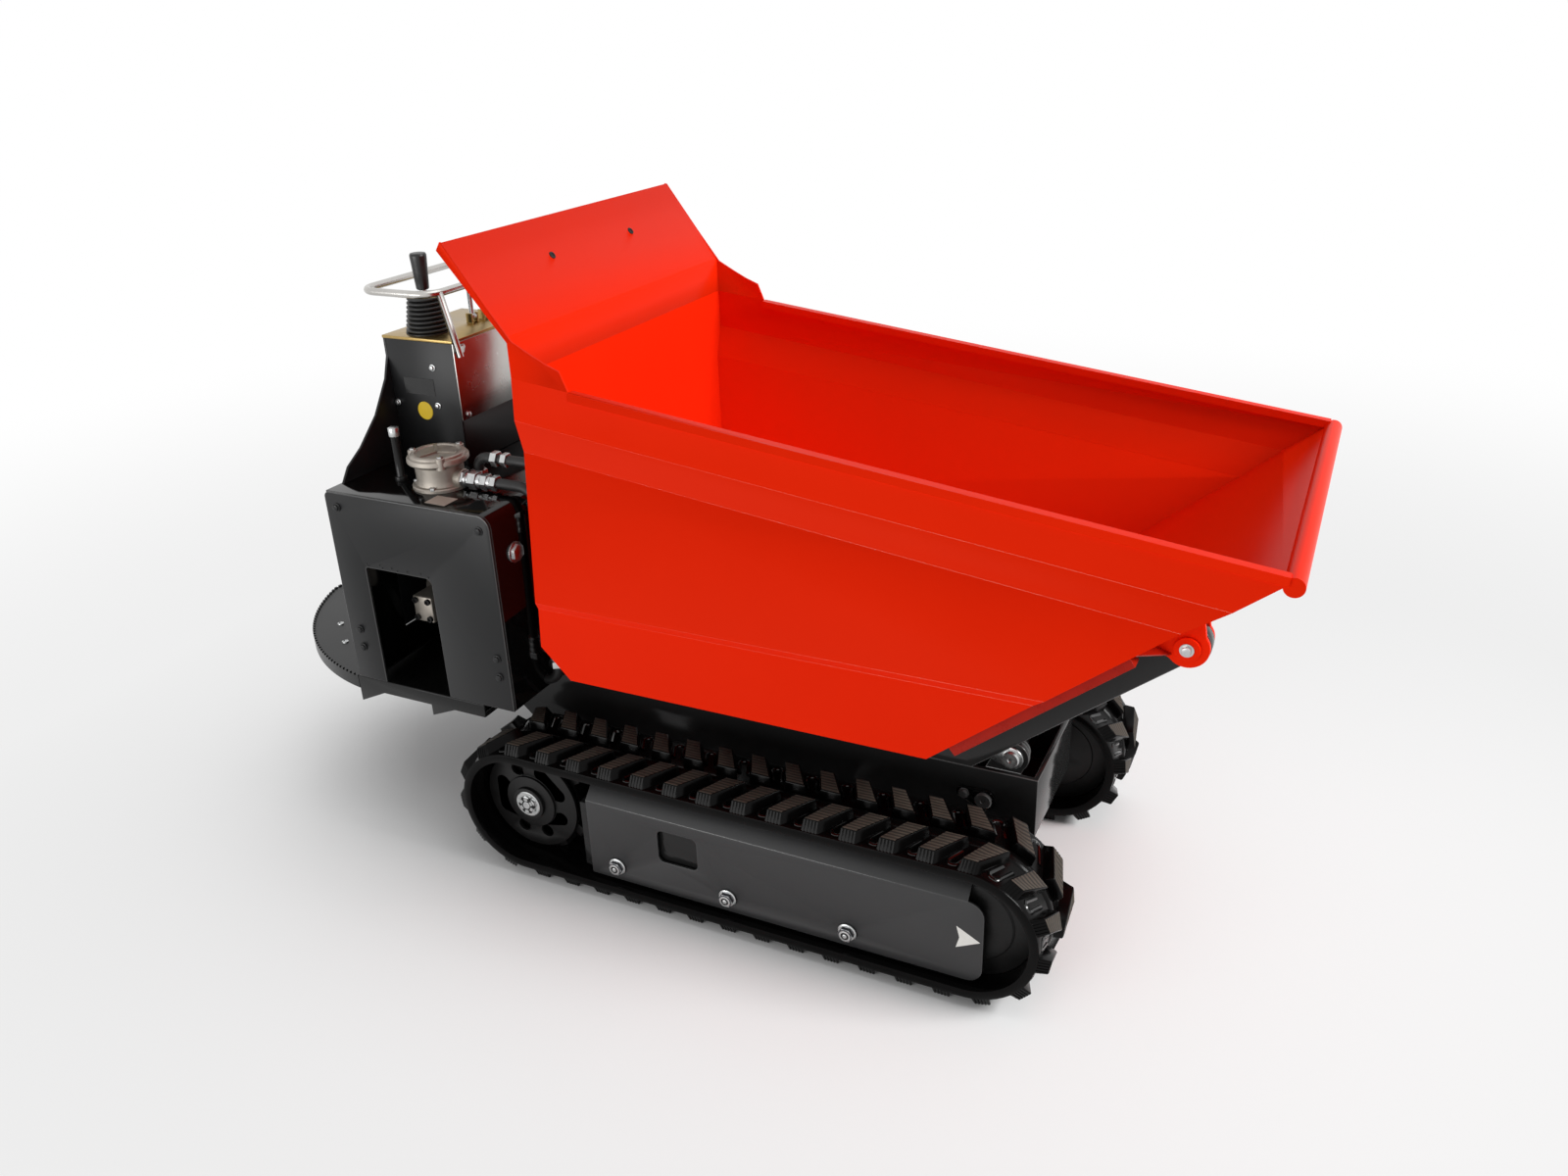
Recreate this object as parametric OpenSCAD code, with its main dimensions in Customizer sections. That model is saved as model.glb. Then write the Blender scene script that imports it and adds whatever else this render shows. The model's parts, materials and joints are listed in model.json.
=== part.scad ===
// Tracked power carrier with a high-tip skip.
// Millimetres. +X is forward (the end that the skip tips over), +Z is up,
// and the origin is on the ground under the middle of the two tracks.

/* [Track] */
// Length of one link of the rubber belt
link_pitch = 72; // [64:1:80]
// Links in one belt
link_count = 37; // [34:1:42]
// Teeth on the drive sprocket
sprocket_teeth = 11; // [10:1:12]
// Width of the belt
belt_w = 180; // [170:2:200]
// Distance between the centres of the two belts
track_gauge = 596; // [580:2:660]
// Thickness of the belt without its lugs
carcass_t = 20; // [18:0.5:22]
// Height of the lugs on the belt
lug_h = 20; // [14:0.5:24]
// Length of a lug along the belt at its outer end
lug_outer_len = 34; // [24:1:40]
// Length of a lug along the belt at its inner end
lug_inner_len = 44; // [34:1:48]
// How far the inner end of a lug leads its outer end
lug_skew = 34; // [10:1:44]
// Radius of the track rollers
roller_r = 40; // [34:0.5:46]
// Distance between neighbouring track rollers
roller_step = 247; // [220:1:260]
// Radius of the roller axles
roller_axle_r = 12; // [9:0.5:14]
// Radius of the idler axle
idler_axle_r = 17; // [12:0.5:22]
// Radius of the drive motor's shaft
motor_shaft_r = 20; // [14:0.5:26]
// Radius of the drive motor
motor_r = 68; // [55:1:76]

/* [Track frame] */
// Width over the two webs of a track frame
frame_w = 128; // [122:1:136]
// Thickness of a web
web_t = 6; // [5:0.5:7]
// Height of a track frame
frame_h = 149; // [140:1:156]
// Thickness of the side cover
cover_t = 5; // [3:0.5:7]
// Gap that the collars keep between a web and its cover
cover_stand = 5; // [3:0.5:8]
// Height of the upright face of the cover
cover_h = 172; // [160:1:180]

/* [Chassis] */
// Width over the chassis side plates
chassis_w = 260; // [250:2:300]
// Thickness of the chassis side plates
side_t = 10; // [8:0.5:12]
// Height of the chassis underside above the ground
chassis_foot_z = 206; // [204:1:212]
// Height of the side plates' top edge along the skip
chassis_top_z = 330; // [322:1:334]
// Height of the deck's underside
deck_z = 341; // [338:1:352]
// Front of the chassis
nose_x = 524; // [518:1:540]
// Side of the square cross tubes
tube_side = 60; // [50:1:66]

/* [Lift linkage] */
// Place of the upper chassis pivot along the machine
upper_pivot_x = 470; // [464:1:480]
// Height of the upper chassis pivot
upper_pivot_z = 362; // [358:1:368]
// Place of the lower chassis pivot along the machine
lower_pivot_x = 425; // [418:1:430]
// Height of the lower chassis pivot
lower_pivot_z = 266; // [262:1:270]
// Length of the lift links between pins
link_len = 560; // [545:1:575]
// How far the links slope up to the rear at rest, in degrees
link_tilt = 5; // [4:0.1:6]
// Depth of the lift links
link_depth = 50; // [42:1:52]
// Thickness of the lift links
link_t = 12; // [8:0.5:14]
// Radius of the linkage pins
pin_r = 17; // [12:0.5:19]
// Length of the crank that the lift ram works
crank_len = 110; // [104:1:114]
// Radius of the lift ram's barrel
lift_barrel_r = 34; // [28:0.5:35]
// Radius of the lift ram's rod
lift_rod_r = 17; // [13:0.5:20]
// Radius of the tip ram's barrel
tip_barrel_r = 30; // [24:0.5:32]
// Radius of the tip ram's rod
tip_rod_r = 15; // [11:0.5:17]

/* [Carrier] */
// Distance between the outer faces of the carrier arms
carrier_w = 528; // [500:2:540]
// Thickness of a carrier arm
arm_t = 28; // [20:1:32]
// Depth of a carrier arm along the slope
arm_depth = 50; // [46:1:56]
// Height of the carrier's flat top
carrier_top_z = 458; // [456:0.5:461]
// Depth of the carrier arms under the skip's floor
arm_flat_depth = 38; // [34:1:44]
// Radius of the skip's pivot pins
tip_pin_r = 14; // [10:0.5:18]

/* [Skip] */
// Thickness of the skip's sheet
sheet_t = 4; // [3:0.25:5]
// Width of the skip over its rim
rim_w = 744; // [736:1:760]
// Width of the skip's middle panels
belly_w = 704; // [696:1:712]
// Width of the skip's lowest panels
foot_w = 688; // [680:1:694]
// Height of the skip's floor
skip_floor_z = 470; // [468:0.5:474]
// Where the floor meets the front slope
slope_foot_x = 382; // [376:1:388]
// Front end of the slope
lip_x = 895; // [885:1:905]
// Height of the slope's front end
lip_z = 887; // [877:1:893]
// Radius of the rolled lip
lip_r = 15; // [12:0.5:18]
// Height of the rim over the origin
rim_z = 1018.4; // [1012:0.2:1030]
// Fall of the rim towards the front, in degrees
rim_fall = 7.2; // [6.6:0.05:7.6]
// Height of the upright band under the rim
rim_band_h = 75; // [60:1:85]
// Height of the slanted band below it
joggle_h = 63; // [50:1:70]
// Height of the spill guard's top edge
guard_top_z = 1284; // [1240:1:1300]
// How far the spill guard leans back
guard_lean = 113; // [80:1:125]

/* [Rear unit] */
// Width over the bay's side plates
bay_w = 700; // [680:2:720]
// Front face of the bay
bay_front_x = -471; // [-480:1:-465]
// Length of the bay
bay_len = 398; // [390:1:402]
// Height of the bay above the deck
bay_h = 432; // [420:1:440]
// Thickness of the deck plate
deck_t = 12; // [8:0.5:14]
// Thickness of the bay's sheets
bay_t = 6; // [4:0.5:8]
// Outer radius of the bend between the bay's front and top
bay_bend = 26; // [20:1:30]
// Radius of the step's two curved sides
step_r = 470; // [455:1:485]
// Height of the deck's side flanges above its plate
deck_lip = 18; // [12:1:22]
// Radius of the return filter's body
filter_r = 47; // [40:0.5:54]
// Radius of the hydraulic hoses
hose_r = 11; // [8:0.5:13]

/* [Console] */
// Width of the console
console_w = 250; // [240:1:262]
// Length of the console
console_len = 171; // [165:1:180]
// Height of the console's top above the bay
console_h = 258; // [240:1:270]
// Radius of the grab handle's tube
handle_r = 7.5; // [6.5:0.5:9]
// Height of the grab handle above the console's top
handle_rise = 94; // [88:1:100]
// Radius of the drive lever's bellows at its foot
bellows_r = 45; // [43:0.5:48]
// Ribs on the bellows
bellows_ribs = 8; // [5:1:9]
// Height of the bellows
bellows_h = 75; // [66:1:78]
// Radius of the drive lever's shaft
lever_r = 7; // [5:0.25:8]

/* [Hidden] */
$fn = 48;
// Running fit of a pin in its bore, gap of rolling faces, side gap of swinging plates
fit = 0.05;
run_gap = 0.3;
side_gap = 2;

// Track, from the belt's pitch circle outwards
pitch_r = link_pitch * sprocket_teeth / (2 * PI);
axle_gap = link_pitch * link_count / 2 - PI * pitch_r;
belt_in_r = pitch_r - carcass_t / 2;
belt_out_r = pitch_r + carcass_t / 2;
ground_r = belt_out_r + lug_h;
axle_z = ground_r;
groove_w = 44;
groove_r = belt_in_r + carcass_t * 0.45;
lug_edge = 6;
lug_middle = 14;
lug_sink = 8;
wrap_parts = 6;
belt_seam = 0.1;
wheel_in = 24;
wheel_out = 44;
idler_r = belt_in_r - run_gap;
roller_z = axle_z - belt_in_r + roller_r + run_gap;
roller_xs = [-roller_step, 0, roller_step];
tooth_w = 40;
tooth_tip_r = groove_r - 1;
tooth_root_r = tooth_tip_r - 20;
sprocket_x = -axle_gap / 2;
idler_x = axle_gap / 2;

// Track frame and cover, measured from the belt's centre, inwards positive
frame_half = frame_w / 2;
frame_foot_z = axle_z - 100;
frame_top_z = frame_foot_z + frame_h;
frame_rear_x = sprocket_x + 138;
frame_front_x = idler_x - 123;
cover_in = frame_half + cover_stand;
cover_out = cover_in + cover_t;
cover_foot_z = axle_z - 108;
cover_top_z = cover_foot_z + cover_h;
cover_rear_x = sprocket_x + 159;
cover_front_x = idler_x + 34;
cover_fold_y = frame_half - 15;
cover_fold_z = cover_top_z + 26;
yoke_half = 16;
yoke_rear_x = idler_x - 228;
yoke_t = 6;

// Chassis
chassis_half = chassis_w / 2;
side_in = chassis_half - side_t;
floor_t = 8;
floor_rear_x = -320;
tube_xs = [-180, 180];
tube_wall = 6;
rear_rail_x = -1000;
rear_rail_z = 300;
nose_t = 10;

// Linkage pins, as points in the X-Z plane
upper_pin = [upper_pivot_x, upper_pivot_z];
lower_pin = [lower_pivot_x, lower_pivot_z];
link_arm = link_len * [-cos(link_tilt), sin(link_tilt)];
upper_end = upper_pin + link_arm;
lower_end = lower_pin + link_arm;
hub_r = link_depth / 2 + 4;
lug_t = 14;
front_lug_in = side_in - lug_t;
upper_link_out = front_lug_in - side_gap;
upper_link_in = upper_link_out - link_t;
lower_link_out = upper_link_in - 10;
lower_link_in = lower_link_out - link_t;
carrier_lug_t = 12;
brace_r = 10;

// Rams: foot pin, rod pin and the eyes at both ends
crank_angle = 140;
lift_foot = [-100, 245];
lift_end = lower_pin + crank_len * [cos(crank_angle), sin(crank_angle)];
tip_foot = [420, 360];
tip_arm_len = 115;
tip_arm_angle = 214;
eye_r = 26;
ram_lug_in = max(lift_barrel_r, tip_barrel_r) + 3;
eye_half = ram_lug_in - 5;
foot_eye_half = ram_lug_in - 1.5;
ram_lug_t = 12;
ram_lug_r = 26;
ram_gland = 62;
ram_base = 30;
ram_floor = 60;
ram_pin_r = 15;

// Skip outline in the X-Z plane
slope_foot = [slope_foot_x, skip_floor_z];
slope_top = [lip_x, lip_z];
slope_u = (slope_top - slope_foot) / norm(slope_top - slope_foot);
slope_n = [slope_u[1], -slope_u[0]];
rear_foot = [-390, skip_floor_z + 61];
rear_chamfer_x = -330;
rear_wall_x = -355;
rear_top_x = rear_wall_x - sheet_t;
rim_half = rim_w / 2;
belly_half = belly_w / 2;
foot_half = foot_w / 2;
crease_top_z = skip_floor_z + 157;
crease_foot_z = skip_floor_z + 142;
rim_bar_x = -245;
rim_bar_h = 14;
rim_bar_out = 4;
guard_fold_z = 1129;

// Carrier and the skip's pivot, which sits on the arm's centre line
arm_half = arm_depth / 2;
arm_end_r = 34;
tip_drop = 49;
arm_gap = tip_drop - arm_half;
tip_along = 460;
tip_pin = slope_foot + tip_along * slope_u + tip_drop * slope_n;
tip_end = tip_pin + tip_arm_len * [cos(tip_arm_angle), sin(tip_arm_angle)];
carrier_half = carrier_w / 2;
arm_in = carrier_half - arm_t;
carrier_rear_x = upper_end[0] - 62;
cross_t = 12;
ear_t = 10;
ear_r = arm_end_r - 1;
pad_h = skip_floor_z - carrier_top_z - run_gap;
pad_len = 60;
pad_xs = [-120, 270];

// Rear unit
bay_half = bay_w / 2;
deck_top_z = deck_z + deck_t;
bay_rear_x = bay_front_x - bay_len;
bay_top_z = deck_top_z + bay_h;
plate_foot_z = deck_top_z + deck_lip;
deck_front_x = bay_front_x - 76;
deck_rear_x = bay_rear_x - 6;
deck_feet = [[deck_rear_x, 31, 66], [deck_rear_x + 190, 25, 60]];
deck_foot_w = 14;
step_t = 8;
step_ahead = 79;
step_centre_x = deck_rear_x + step_ahead;
step_off = sqrt(pow(step_r, 2) - pow(step_ahead, 2)) - bay_half;
step_tip_x = deck_rear_x + 60;
step_tip_r = step_r - 40;
step_rim_t = 8;
step_rib_w = 20;
notch_rear_x = bay_rear_x + 74;
notch_front_x = bay_rear_x + 238;
notch_top_z = deck_top_z + 280;
crank_x = bay_rear_x + 130;
crank_z = deck_top_z + 161;
tank_foot_z = bay_top_z - 140;
tank_in_y = -120;
filter_x = bay_rear_x + 201;
filter_y = -236;
filter_h = 52;
lid_r = filter_r + 13;
lid_h = 22;
filler_x = filter_x - 94;
filler_y = filter_y - 9;
hose_port_z = bay_top_z + 20;
hose_bend = 40;
hose_drop_x = bay_front_x + 31;

// Engine block, whose feet stand on two rails of the deck
engine_front_x = crank_x + 99;
engine_rear_x = crank_x - 101;
engine_foot_z = crank_z - 114;
engine_top_z = crank_z + 106;
engine_y0 = -20;
engine_y1 = 150;
engine_room = bay_front_x - bay_t - engine_front_x;
muffler_gap = 25.5;
muffler_r = engine_room / 2 - muffler_gap;

// Console
console_half = console_w / 2;
console_rear_x = bay_rear_x + 11;
console_front_x = console_rear_x + console_len - 3;
console_top_z = bay_top_z + console_h;
console_t = 6;
console_top_t = 6;
lid_z = console_top_z - console_top_t;
pedestal_t = 6;
front_plate_t = 3;
front_plate_z = bay_top_z + 95;
handle_half = 155;
handle_z = console_top_z + handle_rise;
handle_front_x = console_front_x - 17.5 + handle_r;
handle_rear_x = console_rear_x - 18;
handle_bend = 40;
handle_leg_y = console_half + 1;
handle_leg_r = handle_r - 0.6;
handle_foot_x = console_front_x + front_plate_t + handle_r + 9;
handle_foot_z = console_top_z - 30;
pad_y = console_half - 10;
pad_r = 8;

// Levers
lever_x = console_rear_x + 69;
lever_y = -70;
lever_pivot_z = console_top_z + 17;
gimbal_in = lever_r + 9;
gimbal_out = gimbal_in + 6;
gimbal_h = 12;
gimbal_pin_r = 5;
lever_pin_r = 4;
grip_z = lever_pivot_z + 68;
grip_h = 72;
spool_x = console_rear_x + 105;
spool_ys = [25, 65];
spool_pivot_z = console_top_z + 12;
spool_hub_half = 6;
spool_cheek = 4;
spool_pin_r = 4;

// A flat outline drawn in X-Z, made solid from y0 to y1
module along_y(y0, y1) {
    translate([0, y1, 0]) rotate([90, 0, 0]) linear_extrude(y1 - y0) children();
}

// A flat outline drawn in Y-Z, made solid from x0 to x1
module along_x(x0, x1) {
    translate([x0, 0, 0]) rotate([90, 0, 90]) linear_extrude(x1 - x0) children();
}

// A round bar across the machine at a point of the X-Z plane
module bar_y(p, r, y0, y1) {
    translate([p[0], y0, p[1]]) rotate([-90, 0, 0]) cylinder(r = r, h = y1 - y0);
}

module bar_x(y, z, r, x0, x1) {
    translate([x0, y, z]) rotate([0, 90, 0]) cylinder(r = r, h = x1 - x0);
}

module bar_z(x, y, r, z0, z1) {
    translate([x, y, z0]) cylinder(r = r, h = z1 - z0);
}

module block(low, high) {
    translate(low) cube(high - low);
}

// The same piece on the right (as drawn) and on the left
module both_sides() {
    children();
    mirror([0, 1, 0]) children();
}

module at_right_track() {
    translate([0, -track_gauge / 2, 0]) children();
}

// A plate with two round ends and flanks just inside their width
module strap(p, q, r1, r2) {
    along = (q - p) / norm(q - p);
    across = 0.96 * [-along[1], along[0]];
    translate(p) circle(r1);
    translate(q) circle(r2);
    polygon([p + r1 * across, p - r1 * across, q - r2 * across, q + r2 * across]);
}

// A closed outline whose points carry a corner radius as their third number
function corner_arc(a, b, c, r, steps) =
    let (u = (a - b) / norm(a - b), v = (c - b) / norm(c - b),
         half = acos(u * v) / 2, mid = (u + v) / norm(u + v),
         centre = b + mid * r / sin(half),
         from = b + u * r / tan(half) - centre, to = b + v * r / tan(half) - centre,
         start = atan2(from[1], from[0]),
         turn = (atan2(to[1], to[0]) - start + 540) % 360 - 180)
    [for (i = [0 : steps]) centre + r * [cos(start + turn * i / steps),
                                         sin(start + turn * i / steps)]];
function flat(p) = [p[0], p[1]];
function rounded(points, steps = 6) =
    [for (i = [0 : len(points) - 1])
        let (n = len(points), p = points[i])
        each (p[2] > 0
            ? corner_arc(flat(points[(i + n - 1) % n]), flat(p), flat(points[(i + 1) % n]),
                         p[2], steps)
            : [flat(p)])];

// A ram's own frame: origin at the foot pin, +X towards the rod pin
module along_ram(foot, end) {
    away = end - foot;
    translate([foot[0], 0, foot[1]]) rotate([0, -atan2(away[1], away[0]), 0]) children();
}

// A quarter of a bent tube, from +X round to +Y
module bend(turn_r, r) {
    rotate_extrude(angle = 90) translate([turn_r, 0]) circle(r);
}

// Track belts: the carcass is a loop round both axles, with a groove for the sprocket
module loop(r) {
    for (x = [sprocket_x, idler_x]) translate([x, axle_z]) circle(r);
    translate([sprocket_x, axle_z - r]) square([axle_gap, 2 * r]);
}

// Where a point of the belt lies: place in X-Z and turn about Y
function belt_place(s) =
    let (arc = PI * pitch_r, d = s % (2 * (axle_gap + arc)))
    d < axle_gap ? [sprocket_x + d, axle_z + pitch_r, 0]
    : d < axle_gap + arc ? let (t = (d - axle_gap) / pitch_r * 180 / PI)
        [idler_x + pitch_r * sin(t), axle_z + pitch_r * cos(t), t]
    : d < 2 * axle_gap + arc ? [idler_x - (d - axle_gap - arc), axle_z - pitch_r, 180]
    : let (t = 180 + (d - 2 * axle_gap - arc) / pitch_r * 180 / PI)
        [sprocket_x + pitch_r * sin(t), axle_z + pitch_r * cos(t), t];

// Shortest way round the loop between two places on it
function loop_away(a, b) =
    let (whole = link_pitch * link_count, d = abs(a - b) % whole) min(d, whole - d);

module lug() {
    reach = belt_w / 2 - lug_edge;
    translate([-lug_skew / 2, 0, carcass_t / 2 - lug_sink])
        linear_extrude(lug_h + lug_sink)
            polygon([[-lug_outer_len / 2, -reach], [lug_outer_len / 2, -reach],
                     [lug_skew + lug_inner_len / 2, -lug_middle],
                     [lug_skew - lug_inner_len / 2, -lug_middle]]);
}

// One length of the belt, from a distance along it, inside the outline given as its child
module belt_length(from, len) {
    half = belt_w / 2;
    intersection() {
        along_y(-half, half) intersection() {
            children();
            loop(ground_r);
        }
        union() {
            difference() {
                along_y(-half, half) loop(belt_out_r);
                along_y(-half - 1, half + 1) loop(belt_in_r);
                along_y(-groove_w / 2, groove_w / 2) loop(groove_r);
            }
            for (i = [0 : 2 * link_count - 1]) {
                at = (i / 2 + 0.25) * link_pitch;
                if (loop_away(at, from + len / 2) < len / 2 + link_pitch) {
                    place = belt_place(at);
                    translate([place[0], 0, place[1]]) rotate([0, place[2], 0])
                        mirror([0, i % 2, 0]) lug();
                }
            }
        }
    }
}

// The loop is laid in lengths with a fine seam between them: two runs, and parts of the two wraps
module belt() {
    wrap_len = PI * pitch_r;
    turn = 180 / wrap_parts;
    far = ground_r * 1.2;
    seam_turn = belt_seam / belt_in_r * 180 / PI;
    run = axle_gap - belt_seam;
    at_right_track() {
        belt_length(0, axle_gap)
            translate([sprocket_x + belt_seam / 2, axle_z]) square([run, far]);
        belt_length(axle_gap + wrap_len, axle_gap)
            translate([sprocket_x + belt_seam / 2, axle_z - far]) square([run, far]);
        for (end = [0, 1], i = [0 : wrap_parts - 1]) {
            angle = 90 - 180 * end - turn * i - seam_turn / 2;
            centre = [end == 0 ? idler_x : sprocket_x, axle_z];
            from = axle_gap + end * (axle_gap + wrap_len) + i * wrap_len / wrap_parts;
            belt_length(from, wrap_len / wrap_parts)
                polygon([centre, centre + far * [cos(angle), sin(angle)],
                         centre + far * [cos(angle - turn + seam_turn),
                                         sin(angle - turn + seam_turn)]]);
        }
    }
}
module track_belt_right() { color("black") belt(); }
module track_belt_left() { color("black") mirror([0, 1, 0]) belt(); }

// Drive sprocket on the motor's shaft: toothed ring, drilled flange and hub
module sprocket() {
    flange_r = tooth_root_r + 4;
    at_right_track() translate([sprocket_x, 0, axle_z]) difference() {
        union() {
            along_y(-tooth_w / 2, tooth_w / 2) {
                circle(tooth_root_r);
                for (i = [0 : sprocket_teeth - 1]) rotate(i * 360 / sprocket_teeth)
                    translate([tooth_root_r - 4, -11]) square([tooth_tip_r - tooth_root_r + 3, 22]);
            }
            bar_y([0, 0], flange_r, -39, -31);
            bar_y([0, 0], motor_shaft_r + 38, -45, 50);
            bar_y([0, 0], motor_shaft_r + 16, -54, -45);
            translate([0, -54, 0]) rotate([90, 0, 0]) cylinder(r = motor_shaft_r, h = 6, $fn = 6);
        }
        bar_y([0, 0], motor_shaft_r + fit, -tooth_w / 2 - 1, 51);
        for (i = [0 : 7]) rotate([0, 22.5 + 45 * i, 0]) bar_y([74, 0], 14, -40, -30);
    }
}
module sprocket_right() { color("gray") sprocket(); }
module sprocket_left() { color("gray") mirror([0, 1, 0]) sprocket(); }

// A wheel with two rims that run either side of the belt's groove
module twin_wheel(p, r, hub, hub_half, bore) {
    at_right_track() translate([p[0], 0, p[1]]) difference() {
        union() {
            both_sides() bar_y([0, 0], r, wheel_in, wheel_out);
            bar_y([0, 0], hub, -hub_half, hub_half);
        }
        bar_y([0, 0], bore + fit, -hub_half - 1, hub_half + 1);
    }
}
module idler() {
    twin_wheel([idler_x, axle_z], idler_r, 80, wheel_out + 4, idler_axle_r);
}
module idler_right() { color("gray") idler(); }
module idler_left() { color("gray") mirror([0, 1, 0]) idler(); }

module roller(i) {
    twin_wheel([roller_xs[i], roller_z], roller_r, roller_axle_r + 11,
               frame_half - web_t - 1, roller_axle_r);
}
module roller_right_rear() { color("gray") roller(0); }
module roller_right_mid() { color("gray") roller(1); }
module roller_right_front() { color("gray") roller(2); }
module roller_left_rear() { color("gray") mirror([0, 1, 0]) roller(0); }
module roller_left_mid() { color("gray") mirror([0, 1, 0]) roller(1); }
module roller_left_front() { color("gray") mirror([0, 1, 0]) roller(2); }

// Track frame: a channel whose inner web runs on to the motor's mount
module web() {
    translate([frame_rear_x, frame_foot_z])
        square([frame_front_x - frame_rear_x, frame_h]);
}
module track_frame() {
    at_right_track() difference() {
        union() {
            both_sides() along_y(-frame_half, -frame_half + web_t) web();
            along_y(frame_half - web_t, frame_half) {
                translate([sprocket_x, axle_z]) circle(motor_r + 6);
                translate([sprocket_x, axle_z - motor_r])
                    square([frame_rear_x - sprocket_x + 10, 2 * motor_r - 20]);
            }
            block([frame_rear_x, -frame_half, frame_top_z - web_t],
                  [frame_front_x, frame_half, frame_top_z]);
        }
        for (x = roller_xs) bar_y([x, roller_z], roller_axle_r + fit, -frame_w, frame_w);
        bar_y([sprocket_x, axle_z], motor_shaft_r + fit, 0, frame_w);
    }
}
module track_frame_right() { color("dimgray") track_frame(); }
module track_frame_left() { color("dimgray") mirror([0, 1, 0]) track_frame(); }

// Idler yokes: two arms along the webs, a cross block and the idler's axle
module idler_yokes() {
    arm_out = frame_half - web_t;
    color("dimgray") both_sides() at_right_track() {
        both_sides() along_y(-arm_out, -arm_out + yoke_t) {
            translate([yoke_rear_x, axle_z - yoke_half])
                square([idler_x - yoke_rear_x, 2 * yoke_half]);
            translate([idler_x, axle_z]) circle(idler_axle_r + 10);
        }
        block([yoke_rear_x + 10, -arm_out, axle_z - yoke_half],
              [yoke_rear_x + 60, arm_out, axle_z + yoke_half]);
        bar_y([idler_x, axle_z], idler_axle_r, -arm_out - 4, arm_out + 4);
    }
}

// Drive motors, bolted to the inner webs, with the shaft that carries the sprocket
module drive_motors() {
    color("dimgray") both_sides() at_right_track() {
        bar_y([sprocket_x, axle_z], motor_r, frame_half, frame_half + 24);
        bar_y([sprocket_x, axle_z], motor_r - 10, frame_half + 24, frame_half + 70);
        bar_y([sprocket_x, axle_z], motor_r - 26, frame_half + 70, frame_half + 84);
        bar_y([sprocket_x, axle_z], motor_shaft_r, -tooth_w / 2, frame_half);
    }
}

// Roller axles: head on the inner web, collar between web and cover, nut outside
module roller_axles() {
    nut_t = 9;
    washer_t = 3;
    color("silver") both_sides() at_right_track() for (x = roller_xs) {
        bar_y([x, roller_z], roller_axle_r, -cover_out - washer_t - nut_t - 2, frame_half);
        bar_y([x, roller_z], roller_axle_r + 6, frame_half, frame_half + 8);
        bar_y([x, roller_z], roller_axle_r + 6, -cover_in, -frame_half);
        bar_y([x, roller_z], roller_axle_r + 5, -cover_out - washer_t, -cover_out);
        translate([x, -cover_out - washer_t, roller_z]) rotate([90, 0, 0])
            cylinder(r = roller_axle_r + 3.5, h = nut_t, $fn = 6);
    }
}

// Side covers: an upright face with a folded top, held by the roller axles
module track_covers() {
    hole_x = roller_xs[1] - 106;
    hole_z = (cover_foot_z + cover_top_z) / 2 + 24;
    hole_half = [43, 36];
    color("gray") both_sides() at_right_track() difference() {
        union() {
            along_y(-cover_out, -cover_in)
                polygon(rounded([[cover_rear_x, cover_foot_z, 4], [cover_front_x, cover_foot_z, 30],
                                 [cover_front_x, cover_top_z, 30], [cover_rear_x, cover_top_z, 0]]));
            along_x(cover_rear_x, cover_front_x - 30)
                polygon([[-cover_out, cover_top_z], [-cover_in, cover_top_z],
                         [-cover_fold_y, cover_fold_z - 3], [-cover_fold_y, cover_fold_z]]);
        }
        for (x = roller_xs) bar_y([x, roller_z], roller_axle_r + fit, -cover_out - 1, -cover_in + 1);
        along_y(-cover_out - 1, -cover_in + 1)
            polygon(rounded([[hole_x - hole_half[0], hole_z - hole_half[1], 12],
                             [hole_x + hole_half[0], hole_z - hole_half[1], 12],
                             [hole_x + hole_half[0], hole_z + hole_half[1], 12],
                             [hole_x - hole_half[0], hole_z + hole_half[1], 12]]));
    }
}

// Chassis: side plates, floor, nose plate, cross tubes to the track frames, pivot lugs
module side_outline() {
    polygon([[rear_rail_x, rear_rail_z], [rear_rail_x, deck_z], [-300, deck_z],
             [-260, chassis_top_z], [nose_x, chassis_top_z], [nose_x, chassis_foot_z],
             [-600, chassis_foot_z], [-660, 262], [-860, 262], [-900, rear_rail_z]]);
}
module chassis_frame() {
    web_y = track_gauge / 2 - frame_half;
    color("dimgray") difference() {
        union() {
            both_sides() along_y(-chassis_half, -side_in) side_outline();
            block([floor_rear_x, -side_in, chassis_foot_z],
                  [nose_x - nose_t, side_in, chassis_foot_z + floor_t]);
            block([nose_x - nose_t, -side_in, chassis_foot_z], [nose_x, side_in, chassis_top_z]);
            for (x = tube_xs) difference() {
                block([x - tube_side / 2, -web_y, chassis_foot_z - tube_side],
                      [x + tube_side / 2, web_y, chassis_foot_z]);
                block([x - tube_side / 2 + tube_wall, -web_y - 1,
                       chassis_foot_z - tube_side + tube_wall],
                      [x + tube_side / 2 - tube_wall, web_y + 1, chassis_foot_z - tube_wall]);
            }
            both_sides() along_y(-side_in, -front_lug_in) {
                strap(upper_pin, lower_pin, hub_r + 3, hub_r + 3);
            }
            both_sides() along_y(-ram_lug_in - ram_lug_t, -ram_lug_in) {
                translate(lift_foot) circle(ram_lug_r);
                translate([lift_foot[0] - ram_lug_r, chassis_foot_z])
                    square([2 * ram_lug_r, lift_foot[1] - chassis_foot_z]);
            }
        }
        bar_y(upper_pin, pin_r + fit, -chassis_half - 1, chassis_half + 1);
        bar_y(lower_pin, pin_r + fit, -chassis_half - 1, chassis_half + 1);
        bar_y(lift_foot, ram_pin_r + fit, -ram_lug_in - ram_lug_t - 1, ram_lug_in + ram_lug_t + 1);
    }
}

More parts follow.
